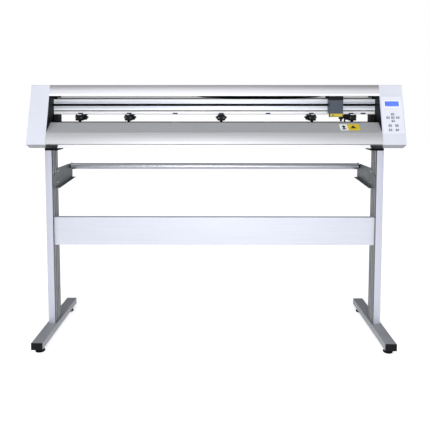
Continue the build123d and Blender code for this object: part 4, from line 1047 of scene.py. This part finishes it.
# %% Film, surround and lit bars
softened("control_panel", 0.3 * MM)
key_above, key_below = (sum(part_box(key), Vector()) / 2 for key in ("key_up", "key_down"))
slope = (key_above - key_below).normalized()
outward = RIGHT.cross(slope)
screen_low, screen_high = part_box("display_window")
screen = (screen_low + screen_high) / 2
reach_out = max((v.co - screen).dot(outward) for v in nodes["display_window"].data.vertices)
face = screen + outward * reach_out
outer, inner = oblong(0.0690, 0.0320, 0.0030), oblong(0.0605, 0.0235, 0.0010)
surround = bmesh.new()
rings = []
for outline, lift in ((outer, 0.00002), (outer, 0.0005), (inner, 0.0005), (inner, 0.00002)):
    rings.append([surround.verts.new(face + RIGHT * a + slope * u + outward * lift) for a, u in outline])
for a, b in zip(rings, rings[1:] + rings[:1]):
    for k in range(len(a)):
        n = (k + 1) % len(a)
        surround.faces.new((a[k], a[n], b[n], b[k]))
solid("display_surround", surround, ink["white"], "root", "panel_film")
bars = (  # across and up from the middle of the display, and how long
    (-0.013, 0.0055, 0.024), (0.016, 0.0055, 0.014), (-0.009, -0.0005, 0.032),
    (-0.016, -0.0065, 0.018), (0.012, -0.0065, 0.020))
for k, (across, up, long) in enumerate(bars):
    plate(f"display_bar_{k}", oblong(long, 0.0022, 0.0004),
          face + RIGHT * across + slope * up + outward * 0.00003,
          RIGHT, slope, 0.00015, ink["lit"], "root")
print("display face at", [round(c, 4) for c in face])
print("panel slope", round(math.degrees(math.atan2(slope.z, slope.y)), 2))

# %% Keys and their plain symbols
symbols = {
    "key_up": [(-0.0030, -0.0018), (0.0030, -0.0018), (0.0, 0.0026)],
    "key_down": [(-0.0030, 0.0018), (0.0, -0.0026), (0.0030, 0.0018)],
    "key_left": [(0.0018, -0.0030), (0.0018, 0.0030), (-0.0028, 0.0)],
    "key_right": [(-0.0018, -0.0030), (0.0028, 0.0), (-0.0018, 0.0030)],
    "key_enter": oblong(0.0044, 0.0044, 0.0021, 6),
    "key_speed": oblong(0.0060, 0.0014, 0.0004),
    "key_force": oblong(0.0014, 0.0046, 0.0004),
    "key_pause": oblong(0.0042, 0.0042, 0.0004),
    "key_reset": oblong(0.0050, 0.0020, 0.0009),
}
for key, outline in symbols.items():
    softened(key, 0.25 * MM)
    low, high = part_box(key)
    centre = (low + high) / 2
    corners = [v.co for v in nodes[key].data.vertices]
    top = max((c - centre).dot(outward) for c in corners)
    nearest = [c for c in corners if (c - centre).dot(outward) > top - 0.0002]
    mid = sum(nearest, Vector()) / len(nearest)
    mid += outward * (top - (mid - centre).dot(outward))
    plate("symbol_" + key, outline, mid + outward * 0.00002, RIGHT, slope, 0.00015, ink["white"], key)
print("keys", len(symbols))

# %% [markdown]
# ## Bed stickers
# Two small printed labels lie on the sloping front of the bed, right under the parked carriage: a white one with an
# arrow, and a yellow one. They carry no words.

# %% Labels on the bed
platen_low, platen_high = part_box("platen")
apron_run, apron_rise = 0.064, 0.042     # the sloping front of the bed, back and up
apron_up = Vector((0, apron_run, apron_rise)).normalized()
lift = RIGHT.cross(apron_up) * 0.00008


def apron_at(x, share):
    """A point on the sloping front: X from the middle, and a share of the way up."""
    return Vector((x + middle_x, platen_low.y + apron_run * share, platen_high.z - apron_rise * (1 - share)))


arrow = [(-0.010, -0.016), (0.010, -0.016), (0.010, -0.010), (0.004, -0.010), (0.004, 0.002), (0.011, 0.002),
         (0.0, 0.016), (-0.011, 0.002), (-0.004, 0.002), (-0.004, -0.010), (-0.010, -0.010)]
triangle = [(-0.013, -0.010), (0.013, -0.010), (0.0, 0.012)]
for name, outline, spot, up, thick, print_ink in (
        ("white", oblong(0.034, 0.046, 0.002), apron_at(0.562, 0.52), 1, 0.0002, "white"),
        ("yellow", oblong(0.050, 0.046, 0.002), apron_at(0.605, 0.52), 1, 0.0002, "yellow"),
        ("arrow", arrow, apron_at(0.562, 0.52), 4, 0.0001, "dark"),
        ("triangle", triangle, apron_at(0.603, 0.55), 4, 0.0001, "dark")):
    plate("label_" + name, outline, spot + lift * up, RIGHT, apron_up, thick, ink[print_ink], "root")
print("labels at", [round(c, 3) for c in apron_at(0.562, 0.52)])

# %% [markdown]
# ## Screws
# Dozens of identical button-head screws hold the sheets, brackets and caps. One tree turns every point of a mesh into
# a screw whose head faces along the point's own direction, kept as an attribute. Each head has a dark hexagon socket.

# %% Screw tree
screws = Tree("button_screws", head=0.004, rise=0.0018, socket=0.0019, finish=None, dark=None)
aim = screws.out("GeometryNodeInputNamedAttribute", {"Name": "aim"}, data_type="FLOAT_VECTOR")
stand = screws.out("FunctionNodeAlignRotationToVector", {"Vector": aim}, axis="Z")
head, rise = screws.take("head"), screws.take("rise")


def raised(shape, height):
    """A shape moved up its own axis."""
    return screws.out("GeometryNodeTransform",
                      {"Geometry": shape, "Translation": screws.vector(0.0, 0.0, height)})


rim = screws.out("GeometryNodeMeshCylinder", {
    "Vertices": 20, "Radius": head, "Depth": screws.maths("MULTIPLY", rise, 0.6)}, fill_type="NGON")
rim = raised(rim, screws.maths("MULTIPLY", rise, 0.3))
dome = screws.out("GeometryNodeMeshCone", {
    "Vertices": 20, "Radius Top": screws.maths("MULTIPLY", head, 0.68), "Radius Bottom": head,
    "Depth": screws.maths("MULTIPLY", rise, 0.4)}, fill_type="NGON")
dome = raised(dome, screws.maths("MULTIPLY", rise, 0.6))
hexagon = screws.out("GeometryNodeMeshCylinder", {
    "Vertices": 6, "Radius": screws.take("socket"), "Depth": 0.00004}, fill_type="NGON")
hexagon = raised(hexagon, screws.maths("ADD", rise, 0.00003))
bright = screws.out("GeometryNodeSetMaterial", {
    "Geometry": screws.join(rim, dome), "Material": screws.take("finish")})
pit = screws.out("GeometryNodeSetMaterial", {"Geometry": hexagon, "Material": screws.take("dark")})
heads = screws.out("GeometryNodeInstanceOnPoints", {
    "Points": screws.take("geometry"), "Instance": screws.join(bright, pit), "Rotation": stand})
real = screws.out("GeometryNodeRealizeInstances", {"Geometry": heads})
screws.group.links.new(real, screws.end.inputs[0])


def screw_row(name, spots, body, head, rise, finish_name):
    mesh = bpy.data.meshes.new(name + "_points")
    mesh.from_pydata([p for p, _ in spots], [], [])
    aims = mesh.attributes.new("aim", "FLOAT_VECTOR", "POINT")
    aims.data.foreach_set("vector", [c for _, a in spots for c in a])
    return grow(name, screws, body, finish_name, mesh, head=head, rise=rise, socket=head * 0.46,
                finish=finish[finish_name], dark=ink["gap"])


# %% Where the screws sit
col_low, col_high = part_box("left_column")
rcol_low, rcol_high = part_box("right_column")
lbr_low, lbr_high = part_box("left_roll_bracket")
rbr_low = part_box("right_roll_bracket")[0]
crossbar_low, crossbar_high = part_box("crossbar")
foot_bar_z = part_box("left_foot_bar")[0].z
skin_deep = 0.00005                  # a head starts this far inside its face
spots = []
for x, sign in ((lbr_high.x - 0.0155, 1), (rbr_low.x + 0.0155, -1)):
    for y in (lbr_low.y + 0.014, lbr_low.y + 0.032):
        for z in (lbr_low.z + 0.026, lbr_high.z - 0.012):
            spots.append(((x, y, z), (sign, 0, 0)))
screw_row("roll_bracket_bolts", spots, "root", 0.0050, 0.0026, "steel")
spots = []
for box_low, box_high in (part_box("left_end_cap"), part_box("right_end_cap")):
    for x in (box_low.x + 0.012, box_high.x - 0.012):
        for z in (box_low.z + 0.015, box_high.z - 0.059):
            spots.append(((x, box_high.y - skin_deep, z), BACK))
screw_row("end_cap_screws", spots, "root", 0.0038, 0.0016, "steel")
spots = []
rear_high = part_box("rear_cover")[1]
for k in range(9):
    x = middle_x + (k - 4) * (half_opening - 0.025) / 4
    spots.append(((x, rear_high.y - skin_deep, rear_high.z - 0.010), BACK))
    spots.append(((x, base_high.y - skin_deep, base_high.z - 0.014), BACK))
screw_row("rear_screws", spots, "root", 0.0032, 0.0014, "steel")
spots = []
for low, high, side in ((col_low, col_high, -1), (rcol_low, rcol_high, 1)):
    outer = low.x if side < 0 else high.x
    mid = (low.x + high.x) / 2
    for y in (low.y + 0.016, high.y - 0.016):
        spots.append(((mid, y, foot_bar_z), -UP))
    for z in (crossbar_low.z + 0.032, crossbar_high.z - 0.033):
        spots.append(((outer - side * skin_deep, low.y + 0.0335, z), (side, 0, 0)))
screw_row("column_bolts", spots, "root", 0.0055, 0.0028, "steel")
spots = []
for x in (bracket_low.x + 0.040, bracket_low.x + 0.050, bracket_high.x - 0.050, bracket_high.x - 0.040):
    for y in (bracket_low.y + 0.021, bracket_low.y + 0.071):
        spots.append(((x, y, bracket_low.z + 0.0002), -UP))
screw_row("bracket_screws", spots, "root", 0.0036, 0.0016, "steel")
inl_low, inl_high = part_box("power_inlet")
mid_z = (inl_low.z + inl_high.z) / 2
spots = [((x, inl_high.y - skin_deep, mid_z), BACK) for x in (inl_low.x + 0.0022, inl_high.x - 0.0022)]
screw_row("inlet_screws", spots, "root", 0.0016, 0.0006, "steel")
print("screws placed")

# %% [markdown]
# ## Mains inlet, drive and board
# The inlet is a black moulding with a red rocker. Motors, pulleys, the arms' bar and the board are softened copies of
# their solids inside the caps and the head. Ribs from the ring tree give both pulleys their teeth.

# %% Inlet, rocker, pulleys and motors
softened("power_inlet", 0.4 * MM)
softened("power_switch", 0.3 * MM, 2, 40)
sw_low, sw_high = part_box("power_switch")
sx, sz = (sw_low.x + sw_high.x) / 2, (sw_low.z + sw_high.z) / 2
plate("rocker_mark", oblong(0.0012, 0.0046, 0.0004), (sx, sw_high.y - 0.0006, sz + 0.0030), -RIGHT, UP, 0.0008,
      ink["white"], "power_switch")
for node in ("carriage_motor", "feed_motor", "circuit_board", "pinch_bar"):
    softened(node, 0.4 * MM)
for body in ("drive_pulley", "idler_pulley"):
    softened(body, 0.25 * MM)
    low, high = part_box(body)
    cx, cy = (low.x + high.x) / 2, (low.y + high.y) / 2
    grow(body + "_teeth", ring, body, "steel", centre=(cx, cy, belt_z), count=30, radius=0.0114,
         size=(0.0008, 0.0012, 0.0090), finish=finish["steel"])
print("pulleys at", round(cx, 4), round(cy, 4))

# %% Sizes and finish
seen_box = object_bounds()
shown = [o for o in bpy.data.objects if o.type == "MESH" and not o.hide_render]
print("triangles", sum(len(p.vertices) - 2 for o in shown for p in o.data.polygons))
for name, box in (("cad", cad_box), ("visual", seen_box)):
    print(name, "box", [[round(float(c), 4) for c in v] for v in box])
